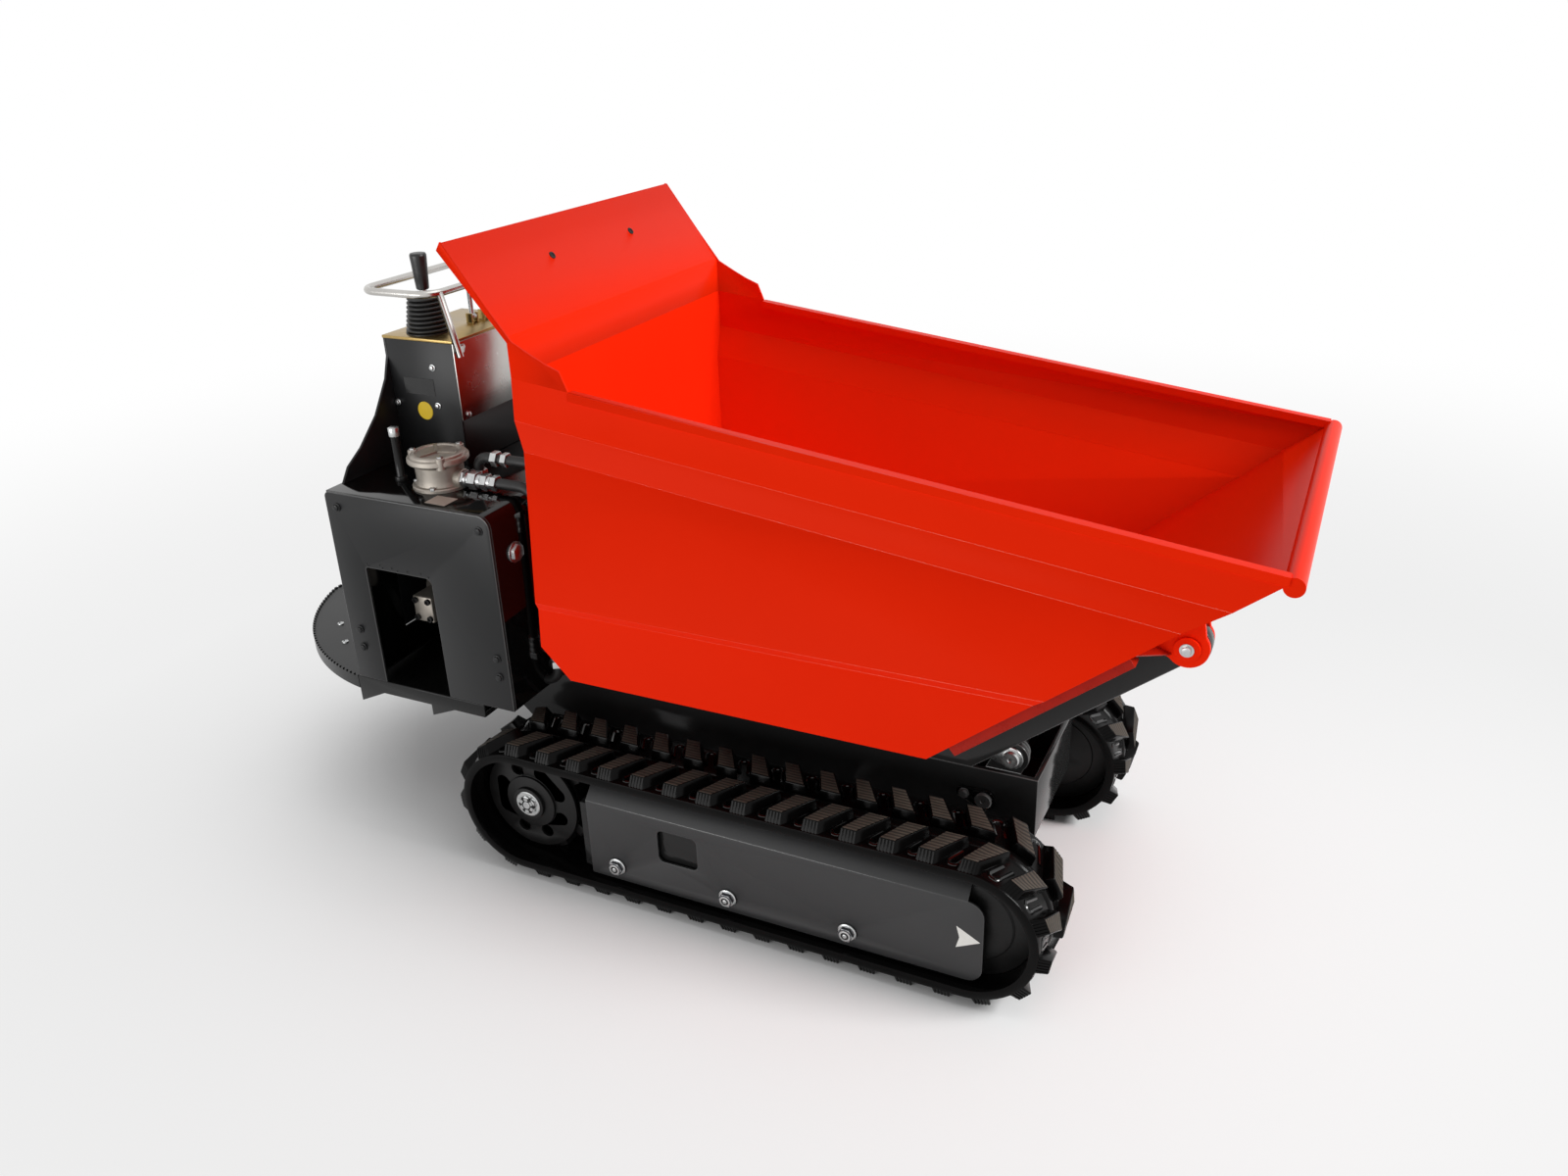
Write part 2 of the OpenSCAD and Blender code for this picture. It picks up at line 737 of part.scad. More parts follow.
// Fixed pins of the linkage, each held by a keeper plate or a head
module link_pins() {
    keeper_t = 6;
    foot_half = ram_lug_in + ram_lug_t;
    color("silver") {
        both_sides() {
            bar_y(upper_pin, pin_r, -side_in, -upper_link_in + side_gap);
            along_y(-side_in - keeper_t, -side_in)
                strap(upper_pin, upper_pin + [-47, 9], pin_r + 6, 13);
            bar_y(lower_pin, pin_r, -chassis_half, -lower_link_in + 4);
            bar_y(lower_pin, pin_r + 9, -front_lug_in, -lower_link_out - side_gap);
            along_y(-chassis_half - keeper_t, -chassis_half)
                strap(lower_pin, lower_pin + [-40, 8], pin_r + 6, 13);
            bar_y(lift_foot, ram_pin_r + 6, -foot_half - 5, -foot_half);
        }
        bar_y(lift_foot, ram_pin_r, -foot_half, foot_half);
    }
}

// Upper lift links, a pair of plates with a brace near their upper edge
module upper_link() {
    brace = (upper_pin + upper_end) / 2 + [sin(link_tilt), cos(link_tilt)] * (link_depth / 2 - 12);
    color("dimgray") {
        both_sides() along_y(-upper_link_out, -upper_link_in) difference() {
            union() {
                strap(upper_pin, upper_end, link_depth / 2, link_depth / 2);
                translate(upper_pin) circle(hub_r);
                translate(upper_end) circle(hub_r);
            }
            translate(upper_pin) circle(pin_r + fit);
            translate(upper_end) circle(pin_r + fit);
        }
        bar_y(brace, brace_r, -upper_link_in, upper_link_in);
    }
}

// Lower lift links on one hub tube, with the crank that the lift ram works
module lower_link() {
    color("dimgray") {
        difference() {
            union() {
                both_sides() along_y(-lower_link_out, -lower_link_in) {
                    strap(lower_pin, lower_end, link_depth / 2, link_depth / 2);
                    translate(lower_pin) circle(hub_r + 2);
                    translate(lower_end) circle(hub_r);
                }
                bar_y(lower_pin, hub_r, -lower_link_in, lower_link_in);
                both_sides() along_y(-ram_lug_in - ram_lug_t, -ram_lug_in)
                    strap(lower_pin, lift_end, hub_r - 3, ram_lug_r - 2);
            }
            both_sides() bar_y(lower_pin, pin_r + fit, -lower_link_out - 1, -lower_link_in + 5);
            bar_y(lower_end, pin_r + fit, -lower_link_out - 1, lower_link_out + 1);
        }
        both_sides() bar_y(lift_end, ram_pin_r, -ram_lug_in - ram_lug_t - 5, -eye_half - 1);
    }
}

// Carrier: two bent arms, cross plates, lugs for the links and for the tip ram
module arm_outline() {
    low = arm_gap + arm_depth;
    foot_z = carrier_top_z - arm_flat_depth;
    low_t = (foot_z - skip_floor_z - low * slope_n[1]) / slope_u[1];
    high_t = (carrier_top_z - skip_floor_z - arm_gap * slope_n[1]) / slope_u[1];
    polygon([[carrier_rear_x, foot_z], slope_foot + low_t * slope_u + low * slope_n,
             slope_foot + tip_along * slope_u + low * slope_n,
             slope_foot + tip_along * slope_u + arm_gap * slope_n,
             slope_foot + high_t * slope_u + arm_gap * slope_n, [carrier_rear_x, carrier_top_z]]);
    translate(tip_pin) circle(arm_end_r);
}
module hanging_lug(p, r, y0, y1) {
    along_y(y0, y1) {
        translate(p) circle(r);
        translate([p[0] - r, p[1]]) square([2 * r, carrier_top_z - cross_t / 2 - p[1]]);
    }
}
module carrier_frame() {
    cross_z = carrier_top_z - cross_t;
    upper_lug_in = upper_link_out + side_gap;
    lower_lug_out = lower_link_in - side_gap;
    color("dimgray") difference() {
        union() {
            both_sides() along_y(-carrier_half, -arm_in) arm_outline();
            block([carrier_rear_x, -arm_in, cross_z], [upper_end[0] + 48, arm_in, carrier_top_z]);
            block([tip_foot[0] - 70, -arm_in, cross_z], [tip_foot[0] + 4, arm_in, carrier_top_z]);
            both_sides() {
                hanging_lug(upper_end, hub_r, -upper_lug_in - carrier_lug_t, -upper_lug_in);
                hanging_lug(lower_end, hub_r, -lower_lug_out, -lower_lug_out + carrier_lug_t);
                hanging_lug(tip_foot, ram_lug_r, -ram_lug_in - ram_lug_t, -ram_lug_in);
            }
        }
        bar_y(upper_end, pin_r + fit, -arm_in, arm_in);
        bar_y(lower_end, pin_r + fit, -arm_in, arm_in);
        bar_y(tip_foot, ram_pin_r + fit, -arm_in, arm_in);
        bar_y(tip_pin, tip_pin_r + fit, -carrier_half - 1, carrier_half + 1);
    }
}

// Pins that the carrier holds: link ends, tip ram foot and the skip's two pivots
module carrier_pins() {
    head = 5;
    upper_lug_out = upper_link_out + side_gap + carrier_lug_t;
    lower_lug_in = lower_link_in - side_gap - carrier_lug_t;
    ram_half = ram_lug_in + ram_lug_t;
    ear_out = carrier_half + side_gap + ear_t;
    color("silver") {
        both_sides() {
            bar_y(upper_end, pin_r, -upper_lug_out, -upper_link_in + side_gap);
            bar_y(upper_end, pin_r + 6, -upper_lug_out - head, -upper_lug_out);
            bar_y(lower_end, pin_r, -lower_link_out - side_gap, -lower_lug_in);
            bar_y(lower_end, pin_r + 6, -lower_lug_in, -lower_lug_in + head);
            bar_y(tip_foot, ram_pin_r + 6, -ram_half - head, -ram_half);
            bar_y(tip_pin, tip_pin_r, -ear_out - side_gap / 2 - head, -arm_in + side_gap + ear_t);
            bar_y(tip_pin, tip_pin_r + 6, -ear_out - side_gap / 2 - head, -ear_out - side_gap / 2);
            bar_y(tip_pin, tip_pin_r + 10, -carrier_half - side_gap / 2, -carrier_half);
        }
        bar_y(tip_foot, ram_pin_r, -ram_half, ram_half);
    }
}

// Rubber pads on the arms that the skip comes down on
module rest_pads() {
    color("black") both_sides() for (x = pad_xs)
        block([x, -carrier_half + 2, carrier_top_z], [x + pad_len, -arm_in - 2, carrier_top_z + pad_h]);
}

// Rams, drawn along their own axis: barrel with a foot eye, rod with an eye
module ram_barrel(foot, end, r, rod_r) {
    mouth = norm(end - foot) - ram_gland;
    along_ram(foot, end) difference() {
        union() {
            bar_y([0, 0], eye_r, -foot_eye_half, foot_eye_half);
            bar_x(0, 0, r - 6, 0, ram_base);
            bar_x(0, 0, r, ram_base, mouth);
        }
        bar_y([0, 0], ram_pin_r + fit, -foot_eye_half - r, foot_eye_half + r);
        bar_x(0, 0, rod_r + fit, ram_floor - 5, mouth + 1);
    }
}
module ram_rod(foot, end, rod_r) {
    reach = norm(end - foot);
    along_ram(foot, end) difference() {
        union() {
            bar_y([reach, 0], eye_r, -eye_half, eye_half);
            bar_x(0, 0, rod_r, ram_floor, reach);
        }
        bar_y([reach, 0], ram_pin_r + fit, -eye_half - 1, eye_half + 1);
    }
}
module lift_barrel() { color("dimgray") ram_barrel(lift_foot, lift_end, lift_barrel_r, lift_rod_r); }
module lift_rod() { color("silver") ram_rod(lift_foot, lift_end, lift_rod_r); }
module tip_barrel() { color("dimgray") ram_barrel(tip_foot, tip_end, tip_barrel_r, tip_rod_r); }
module tip_rod() { color("silver") ram_rod(tip_foot, tip_end, tip_rod_r); }

// Skip: folded sheet. The rim band follows the falling rim, the lower panels the floor.
function rim_at(x) = rim_z - x * tan(rim_fall);

module side_profile(inset) {
    top = inset > 0 ? 60 : 0;
    wide = rim_half + 20;
    wide_z = crease_foot_z + (wide - foot_half) * (crease_top_z - crease_foot_z) / (belly_half - foot_half);
    intersection() {
        translate([0, 0, rim_z]) rotate([0, rim_fall, 0]) along_x(-700, 1300)
            polygon([[-rim_half + inset, top], [rim_half - inset, top],
                     [rim_half - inset, -rim_band_h],
                     [belly_half - inset, -rim_band_h - joggle_h],
                     [belly_half - inset, -800], [inset - belly_half, -800],
                     [inset - belly_half, -rim_band_h - joggle_h],
                     [inset - rim_half, -rim_band_h]]);
        along_x(-700, 1200)
            polygon([[-foot_half + inset, skip_floor_z - 50], [-foot_half + inset, crease_foot_z],
                     [-wide + inset, wide_z], [-wide + inset, 1500],
                     [wide - inset, 1500], [wide - inset, wide_z],
                     [foot_half - inset, crease_foot_z], [foot_half - inset, skip_floor_z - 50]]);
    }
}
module skip_shell() {
    over = 1500;
    chamfer = rear_foot - [rear_chamfer_x, skip_floor_z];
    chamfer_n = [-chamfer[1], chamfer[0]] / norm(chamfer);
    chamfer_p = [rear_chamfer_x, skip_floor_z] - sheet_t * chamfer_n;
    floor_in = skip_floor_z + sheet_t;
    chamfer_floor_x = chamfer_p[0] + (floor_in - chamfer_p[1]) * chamfer[0] / chamfer[1];
    chamfer_wall_z = chamfer_p[1] + (rear_wall_x - chamfer_p[0]) * chamfer[1] / chamfer[0];
    slope_p = slope_foot - sheet_t * slope_n;
    slope_floor_x = slope_p[0] + (floor_in - slope_p[1]) * slope_u[0] / slope_u[1];
    slope_far = slope_p + 900 * slope_u;
    color("orangered") {
        difference() {
            intersection() {
                along_y(-rim_half, rim_half)
                    polygon([[rear_top_x, over], [rear_top_x, rim_at(rear_top_x)], rear_foot,
                             [rear_chamfer_x, skip_floor_z], slope_foot, slope_top, [lip_x, over]]);
                side_profile(0);
            }
            intersection() {
                along_y(-rim_half, rim_half)
                    polygon([[rear_wall_x, over], [rear_wall_x, chamfer_wall_z],
                             [chamfer_floor_x, floor_in], [slope_floor_x, floor_in], slope_far,
                             [slope_far[0], over]]);
                side_profile(sheet_t);
            }
            intersection() {
                block([-600, -rim_half, 300], [rear_wall_x - sheet_t, rim_half, over]);
                side_profile(sheet_t);
            }
        }
        bar_y(slope_top + [lip_r - 2, lip_r * 0.13], lip_r, -rim_half, rim_half);
        both_sides() translate([0, 0, rim_z]) rotate([0, rim_fall, 0])
            block([rim_bar_x / cos(rim_fall), -rim_half - rim_bar_out, -rim_bar_h],
                  [lip_x / cos(rim_fall) + lip_r / 2, -rim_half + sheet_t + 10, 0]);
    }
}

// Spill guard: a bent sheet on the rear wall's top edge, with a wing at each side
module spill_guard() {
    back_x = rear_wall_x - sheet_t;
    top_x = back_x - guard_lean;
    lean = [guard_lean, guard_fold_z - guard_top_z + 3];
    lean_n = sheet_t * [-lean[1], lean[0]] / norm(lean);
    color("orangered") {
        along_y(-rim_half, rim_half)
            polygon([[back_x, rim_at(back_x)], [back_x, guard_fold_z],
                     [top_x, guard_top_z - 3], [top_x, guard_top_z - 3] + lean_n,
                     [rear_wall_x, guard_fold_z + 1], [rear_wall_x, rim_at(rear_wall_x)]]);
        both_sides() along_y(-rim_half, -rim_half + sheet_t)
            polygon([[rear_wall_x, rim_at(rear_wall_x)], [rear_wall_x, guard_fold_z - 10],
                     [top_x - 9, guard_top_z - 14], [top_x, guard_top_z],
                     [rear_wall_x + 4, guard_fold_z - 2], [-316, guard_fold_z - 21],
                     [-288, guard_fold_z - 35], [-260, guard_fold_z - 46],
                     [rim_bar_x - 1, rim_at(rim_bar_x - 1)]]);
    }
}

// Ears and ram lugs welded to the underside of the slope
module slope_lug(p, r, foot) {
    rise = (p - slope_foot) * slope_n;
    translate(p) circle(r);
    polygon([p - r * slope_u, p + r * slope_u, p + foot * slope_u - rise * slope_n,
             p - foot * slope_u - rise * slope_n]);
}
module pivot_ears() {
    outer_in = carrier_half + side_gap;
    inner_out = arm_in - side_gap;
    color("orangered") difference() {
        both_sides() {
            along_y(-outer_in - ear_t, -outer_in) slope_lug(tip_pin, ear_r, 60);
            along_y(-inner_out, -inner_out + ear_t) slope_lug(tip_pin, ear_r, 60);
            along_y(-ram_lug_in - ram_lug_t, -ram_lug_in) slope_lug(tip_end, ram_lug_r - 2, 45);
            bar_y(tip_end, ram_pin_r, -ram_lug_in - ram_lug_t - 5, -eye_half - 1);
        }
        bar_y(tip_pin, tip_pin_r + fit, -rim_half, rim_half);
    }
}

// Deck under the rear unit, with side flanges, feet and the two rails that the engine stands on
module base_deck() {
    color("dimgray") {
        block([deck_rear_x, -bay_half, deck_z], [deck_front_x, bay_half, deck_top_z]);
        both_sides() {
            block([deck_rear_x, -bay_half, deck_top_z], [deck_front_x, -bay_half + bay_t, plate_foot_z]);
            for (foot = deck_feet) along_y(-bay_half, -bay_half + deck_foot_w)
                polygon([[foot[0], deck_z], [foot[0], deck_z - foot[1]], [foot[0] + foot[2], deck_z]]);
        }
        for (y = [engine_y0 + 10, engine_y1 - 30])
            block([engine_rear_x, y, deck_top_z], [engine_front_x, y + 20, engine_foot_z]);
    }
}

// Bow-shaped step with a skirt below its edge, on two ribs over the chassis rails
module step_outline(inset, front_x) {
    intersection() {
        translate([step_centre_x, step_off]) circle(step_r - inset);
        translate([step_centre_x, -step_off]) circle(step_r - inset);
        translate([step_tip_x, 0]) circle(step_tip_r - inset);
        translate([front_x - 2 * step_r, -step_r]) square([2 * step_r, 2 * step_r]);
    }
}
module step_platform() {
    top_z = plate_foot_z - step_t;
    color("dimgray") {
        translate([0, 0, top_z]) linear_extrude(step_t) step_outline(0, deck_rear_x);
        translate([0, 0, deck_z]) linear_extrude(top_z - deck_z) difference() {
            step_outline(0, deck_rear_x);
            step_outline(step_rim_t, deck_rear_x + 1);
        }
        both_sides() block([rear_rail_x, -chassis_half, deck_z],
                           [deck_rear_x, -chassis_half + step_rib_w, top_z]);
    }
}

// Bay: front, top and rear sheets in one shell, side plates bolted on
module bay_shell() {
    in = bay_half - bay_t;
    color("dimgray") {
        along_y(-in, in) difference() {
            polygon(rounded([[bay_rear_x, plate_foot_z, 0], [bay_front_x, plate_foot_z, 0],
                             [bay_front_x, bay_top_z, bay_bend], [bay_rear_x, bay_top_z, 0]]));
            polygon(rounded([[bay_rear_x - 1, plate_foot_z - 1, 0],
                             [bay_front_x - bay_t, plate_foot_z - 1, 0],
                             [bay_front_x - bay_t, bay_top_z - bay_t, bay_bend - bay_t],
                             [bay_rear_x - 1, bay_top_z - bay_t, 0]]));
        }
        difference() {
            block([bay_rear_x, -in, deck_top_z], [bay_rear_x + bay_t, in, bay_top_z - bay_t]);
            block([bay_rear_x - 1, -200, deck_top_z + 67], [bay_rear_x + bay_t + 1, 200, tank_foot_z - 20]);
        }
    }
}
module bay_outline() {
    polygon(rounded([[bay_rear_x, plate_foot_z, 0], [bay_front_x, plate_foot_z, 0],
                     [bay_front_x, bay_top_z, bay_bend], [bay_rear_x, bay_top_z, 12]]));
}
module bay_right_plate() {
    color("dimgray") along_y(-bay_half, -bay_half + bay_t) difference() {
        bay_outline();
        polygon(rounded([[notch_rear_x, deck_top_z - 10, 0], [notch_front_x, deck_top_z - 10, 0],
                         [notch_front_x, notch_top_z, 14], [notch_rear_x, notch_top_z, 6]]));
    }
}
module bay_left_plate() {
    color("dimgray") along_y(bay_half - bay_t, bay_half) difference() {
        bay_outline();
        translate([crank_x, crank_z]) circle(105);
    }
}

// Hydraulic side: tank in the bay, return filter on top, filler, sight plug and hoses
module hydraulic_tank() {
    color("dimgray") {
        block([bay_rear_x + bay_t + 8, -bay_half + bay_t, tank_foot_z],
              [bay_front_x - bay_bend, tank_in_y, bay_top_z - bay_t]);
        block([bay_front_x - bay_bend, -bay_half + bay_t, tank_foot_z],
              [bay_front_x - bay_t, tank_in_y, bay_top_z - bay_bend]);
    }
}
module sight_plug() {
    color("silver") {
        bar_x(-bay_half + 63, tank_foot_z + 47, 21, bay_front_x, bay_front_x + 5);
        translate([bay_front_x + 5, -bay_half + 63, tank_foot_z + 47]) rotate([0, 90, 0])
            cylinder(r = 17, h = 7, $fn = 6);
    }
}
module return_filter() {
    color("lightgray") {
        bar_z(filter_x, filter_y, filter_r, bay_top_z, bay_top_z + filter_h);
        bar_z(filter_x, filter_y, filter_r + 9, bay_top_z, bay_top_z + 8);
        bar_x(filter_y, hose_port_z, hose_r + 4, filter_x, filter_x + filter_r + 13);
    }
}
module filter_lid() {
    color("lightgray") {
        bar_z(filter_x, filter_y, lid_r, bay_top_z + filter_h, bay_top_z + filter_h + lid_h - 6);
        bar_z(filter_x, filter_y, lid_r - 8, bay_top_z + filter_h + lid_h - 6,
              bay_top_z + filter_h + lid_h);
    }
}
module filler_tube() {
    color("silver") {
        bar_z(filler_x, filler_y, 8.5, bay_top_z, bay_top_z + 92);
        bar_z(filler_x, filler_y, 13, bay_top_z, bay_top_z + 10);
        bar_z(filler_x, filler_y, 10.5, bay_top_z + 92, bay_top_z + 110);
    }
}

// Two hoses from the filter's side over the bay's front edge and back into its face
module hose(y, start_x, z) {
    turn_x = hose_drop_x - hose_bend;
    low_z = deck_top_z + 67;
    bar_x(y, z, hose_r, start_x, turn_x);
    translate([turn_x, y, z - hose_bend]) rotate([90, 0, 0]) bend(hose_bend, hose_r);
    bar_z(hose_drop_x, y, hose_r, low_z, z - hose_bend);
    translate([bay_front_x, y, low_z]) rotate([-90, 0, 0]) bend(hose_drop_x - bay_front_x, hose_r);
}
module return_hoses() {
    elbow = 24;
    high_z = hose_port_z + 36;
    high_x = filter_x + filter_r + 22;
    high_y = filter_y + 34;
    color("black") {
        hose(filter_y, filter_x + filter_r + 13, hose_port_z);
        hose(high_y, high_x + elbow, high_z);
        translate([high_x + elbow, high_y, high_z - elbow]) rotate([90, 0, 0]) rotate(90)
            bend(elbow, hose_r);
        bar_z(high_x, high_y, hose_r, bay_top_z, high_z - elbow);
    }
}

// Engine with its bellhousing pump, fuel tank and muffler inside the bay
module engine_block() {
    color("gray") {
        block([engine_rear_x, engine_y0, engine_foot_z], [engine_front_x, engine_y1, engine_top_z]);
        bar_y([crank_x, crank_z], 112, engine_y1, engine_y1 + 85);
        bar_y([crank_x, crank_z], 95, engine_y1 + 85, engine_y1 + 112);
        for (y = [engine_y0 + 20, engine_y1 - 40])
            block([engine_rear_x + 10, y, engine_top_z], [engine_front_x - 10, y + 20, engine_top_z + 20]);
    }
}
module fuel_tank() {
    color("dimgray") difference() {
        block([engine_rear_x - 5, engine_y0 + 5, engine_top_z + 20],
              [engine_front_x + 20, engine_y1 + 75, engine_top_z + 120]);
        block([engine_front_x, engine_y0 - 1, engine_top_z + 10],
              [engine_front_x + 21, engine_y0 + 40, engine_top_z + 60]);
    }
}
module muffler() {
    color("gray") {
        bar_y([engine_front_x + engine_room / 2, crank_z + 66], muffler_r, 20, engine_y1);
        bar_x(85, crank_z + 46, 15, engine_front_x, engine_front_x + engine_room / 2);
    }
}
module gear_pump() {
    color("gray") {
        bar_y([crank_x, crank_z], 60, -190, engine_y0);
        block([crank_x - 24, -270, crank_z - 29], [crank_x + 24, -190, crank_z + 28]);
    }
}

// Pedestal plate behind the console, bell shaped, standing on the bay's top
module pedestal_plate() {
    foot = console_half + 180;
    color("dimgray") along_x(console_rear_x - pedestal_t, console_rear_x)
        polygon([[-foot, bay_top_z], [foot, bay_top_z], [foot - 21, bay_top_z + 29],
                 [foot - 64, bay_top_z + 56], [foot - 120, bay_top_z + 107],
                 [console_half + 16, bay_top_z + 171], [console_half, bay_top_z + 215],
                 [console_half, lid_z], [-console_half, lid_z],
                 [-console_half, bay_top_z + 215], [-console_half - 16, bay_top_z + 171],
                 [120 - foot, bay_top_z + 107], [64 - foot, bay_top_z + 56],
                 [21 - foot, bay_top_z + 29]]);
}
module console_shell() {
    color("dimgray") {
        both_sides() block([console_rear_x, -console_half, bay_top_z],
                           [console_front_x, -console_half + console_t, lid_z]);
        block([console_front_x - console_t, -console_half + console_t, bay_top_z],
              [console_front_x, console_half - console_t, front_plate_z]);
    }
}
module console_front() {
    color("silver") block([console_front_x, -console_half, front_plate_z],
                          [console_front_x + front_plate_t, console_half, lid_z]);
}

// Console top, with the gimbal's two cheeks and the spool levers' forks and pins
module console_top() {
    over = 2;
    color("olive") {
        block([console_rear_x - pedestal_t, -console_half - over, lid_z],
              [console_front_x + front_plate_t, console_half + over, console_top_z]);
        for (side = [-1, 1]) difference() {
            translate([lever_x + side * (gimbal_out + 7), lever_y, console_top_z + 13])
                cube([6, 16, 26], center = true);
            bar_x(lever_y, lever_pivot_z, gimbal_pin_r + fit, lever_x - 60, lever_x + 60);
        }
        for (y = spool_ys) {
            for (side = [-1, 1])
                translate([spool_x, y + side * (spool_hub_half + 1 + spool_cheek / 2), console_top_z + 10])
                    cube([16, spool_cheek, 20], center = true);
            bar_y([spool_x, spool_pivot_z], spool_pin_r, y - spool_hub_half - 2, y + spool_hub_half + 2);
        }
    }
}

// Grab handle: a tube bent to a closed ring round the console, on two legs at the front plate
module grab_handle() {
    turn_x = handle_front_x - handle_bend;
    back_x = handle_rear_x + handle_bend;
    turn_y = handle_half - handle_bend;
    fall = handle_z - handle_foot_z;
    lean = handle_foot_x - handle_front_x;
    pad_z = handle_foot_z + 12;
    color("silver") {
        for (x = [handle_rear_x, handle_front_x]) bar_y([x, handle_z], handle_r, -turn_y, turn_y);
        both_sides() {
            bar_x(-handle_half, handle_z, handle_r, back_x, turn_x);
            translate([back_x, -turn_y, handle_z]) rotate(180) bend(handle_bend, handle_r);
            translate([turn_x, -turn_y, handle_z]) rotate(270) bend(handle_bend, handle_r);
            translate([handle_front_x, -handle_leg_y, handle_z]) rotate([0, 180 - atan2(lean, fall), 0])
                cylinder(r = handle_leg_r, h = norm([lean, fall]));
            bar_x(-pad_y, pad_z, pad_r, console_front_x + front_plate_t,
                  handle_foot_x - lean * 12 / fall);
        }
    }
}

// Drive lever: ribbed bellows over a two-axis gimbal, shaft and grip
module lever_bellows() {
    wall = 3;
    shrink = bellows_r - 34;
    rib_h = bellows_h / bellows_ribs;
    valley = 5;
    crest = [for (i = [0 : bellows_ribs - 1]) let (r = bellows_r - shrink * i / bellows_ribs)
        each [[r - valley, i * rib_h], [r, (i + 0.35) * rib_h], [r, (i + 0.65) * rib_h]]];
    outer = concat(crest, [[bellows_r - shrink - valley + 4, bellows_h]]);
    inner = [for (i = [len(outer) - 1 : -1 : 0]) [outer[i][0] - wall, outer[i][1]]];
    color("black") translate([lever_x, lever_y, console_top_z]) rotate_extrude()
        polygon(concat(outer, inner));
}
module lever_gimbal() {
    color("gray") difference() {
        union() {
            bar_z(lever_x, lever_y, gimbal_out, lever_pivot_z - gimbal_h / 2, lever_pivot_z + gimbal_h / 2);
            bar_x(lever_y, lever_pivot_z, gimbal_pin_r, lever_x - gimbal_out - 10, lever_x + gimbal_out + 10);
        }
        bar_z(lever_x, lever_y, gimbal_in, lever_pivot_z - 20, lever_pivot_z + 20);
        bar_y([lever_x, lever_pivot_z], lever_pin_r + fit, lever_y - 60, lever_y + 60);
    }
}
module drive_lever() {
    color("silver") {
        bar_z(lever_x, lever_y, lever_r, lever_pivot_z - 12, grip_z);
        bar_y([lever_x, lever_pivot_z], lever_pin_r, lever_y - gimbal_out + 1, lever_y + gimbal_out - 1);
    }
}
module lever_grip() {
    color("black") translate([lever_x, lever_y, grip_z]) rotate_extrude()
        polygon(rounded([[0, 0, 0], [13, 0, 3], [17, grip_h, 7], [0, grip_h, 0]]));
}

// Small levers of the lift and tip spools, on pins of the console top
module spool_lever(y) {
    difference() {
        union() {
            bar_y([spool_x, spool_pivot_z], 8, y - spool_hub_half, y + spool_hub_half);
            bar_z(spool_x, y, 5, spool_pivot_z, spool_pivot_z + 62);
            translate([spool_x, y, spool_pivot_z + 70]) sphere(13);
        }
        bar_y([spool_x, spool_pivot_z], spool_pin_r + fit, y - 20, y + 20);
    }
}
module lift_lever() { color("black") spool_lever(spool_ys[0]); }
module tip_lever() { color("black") spool_lever(spool_ys[1]); }

// Hexagon bolts of the bay's side plates and of the console's near side
module hex_bolt(x, z, y, r) {
    translate([x, y, z]) rotate([90, 0, 0]) {
        cylinder(r = r + 2, h = 2);
        cylinder(r = r, h = 6, $fn = 6);
    }
}
module fasteners() {
    color("silver") {
        both_sides() for (x = [bay_rear_x + 28, bay_front_x - 24], z = [92, 133, bay_h - 30])
            hex_bolt(x, deck_top_z + z, -bay_half, 7);
        both_sides() for (p = [[112, 200], [112, 121], [8, 119]])
            hex_bolt(console_rear_x + p[0], bay_top_z + p[1], -console_half, 5);
    }
}

chassis_frame();
track_frame_right();
track_frame_left();
track_covers();
track_belt_right();
track_belt_left();
roller_axles();
drive_motors();
idler_yokes();
base_deck();
step_platform();
bay_shell();
bay_right_plate();
bay_left_plate();
hydraulic_tank();
sight_plug();
return_filter();
filter_lid();
fasteners();
filler_tube();
return_hoses();
gear_pump();
engine_block();
fuel_tank();
muffler();
pedestal_plate();
console_shell();
console_top();
console_front();
grab_handle();
lever_bellows();
link_pins();
upper_link();
lower_link();
carrier_frame();
carrier_pins();
rest_pads();
lift_barrel();
lift_rod();
tip_barrel();
tip_rod();
skip_shell();
spill_guard();
pivot_ears();
lever_gimbal();
drive_lever();
lever_grip();
lift_lever();
tip_lever();
sprocket_right();
sprocket_left();
idler_right();
idler_left();
roller_right_rear();
roller_right_mid();
roller_right_front();
roller_left_rear();
roller_left_mid();
roller_left_front();
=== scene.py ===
import bmesh
import bpy
import json
import math
from mathutils import Matrix, Vector

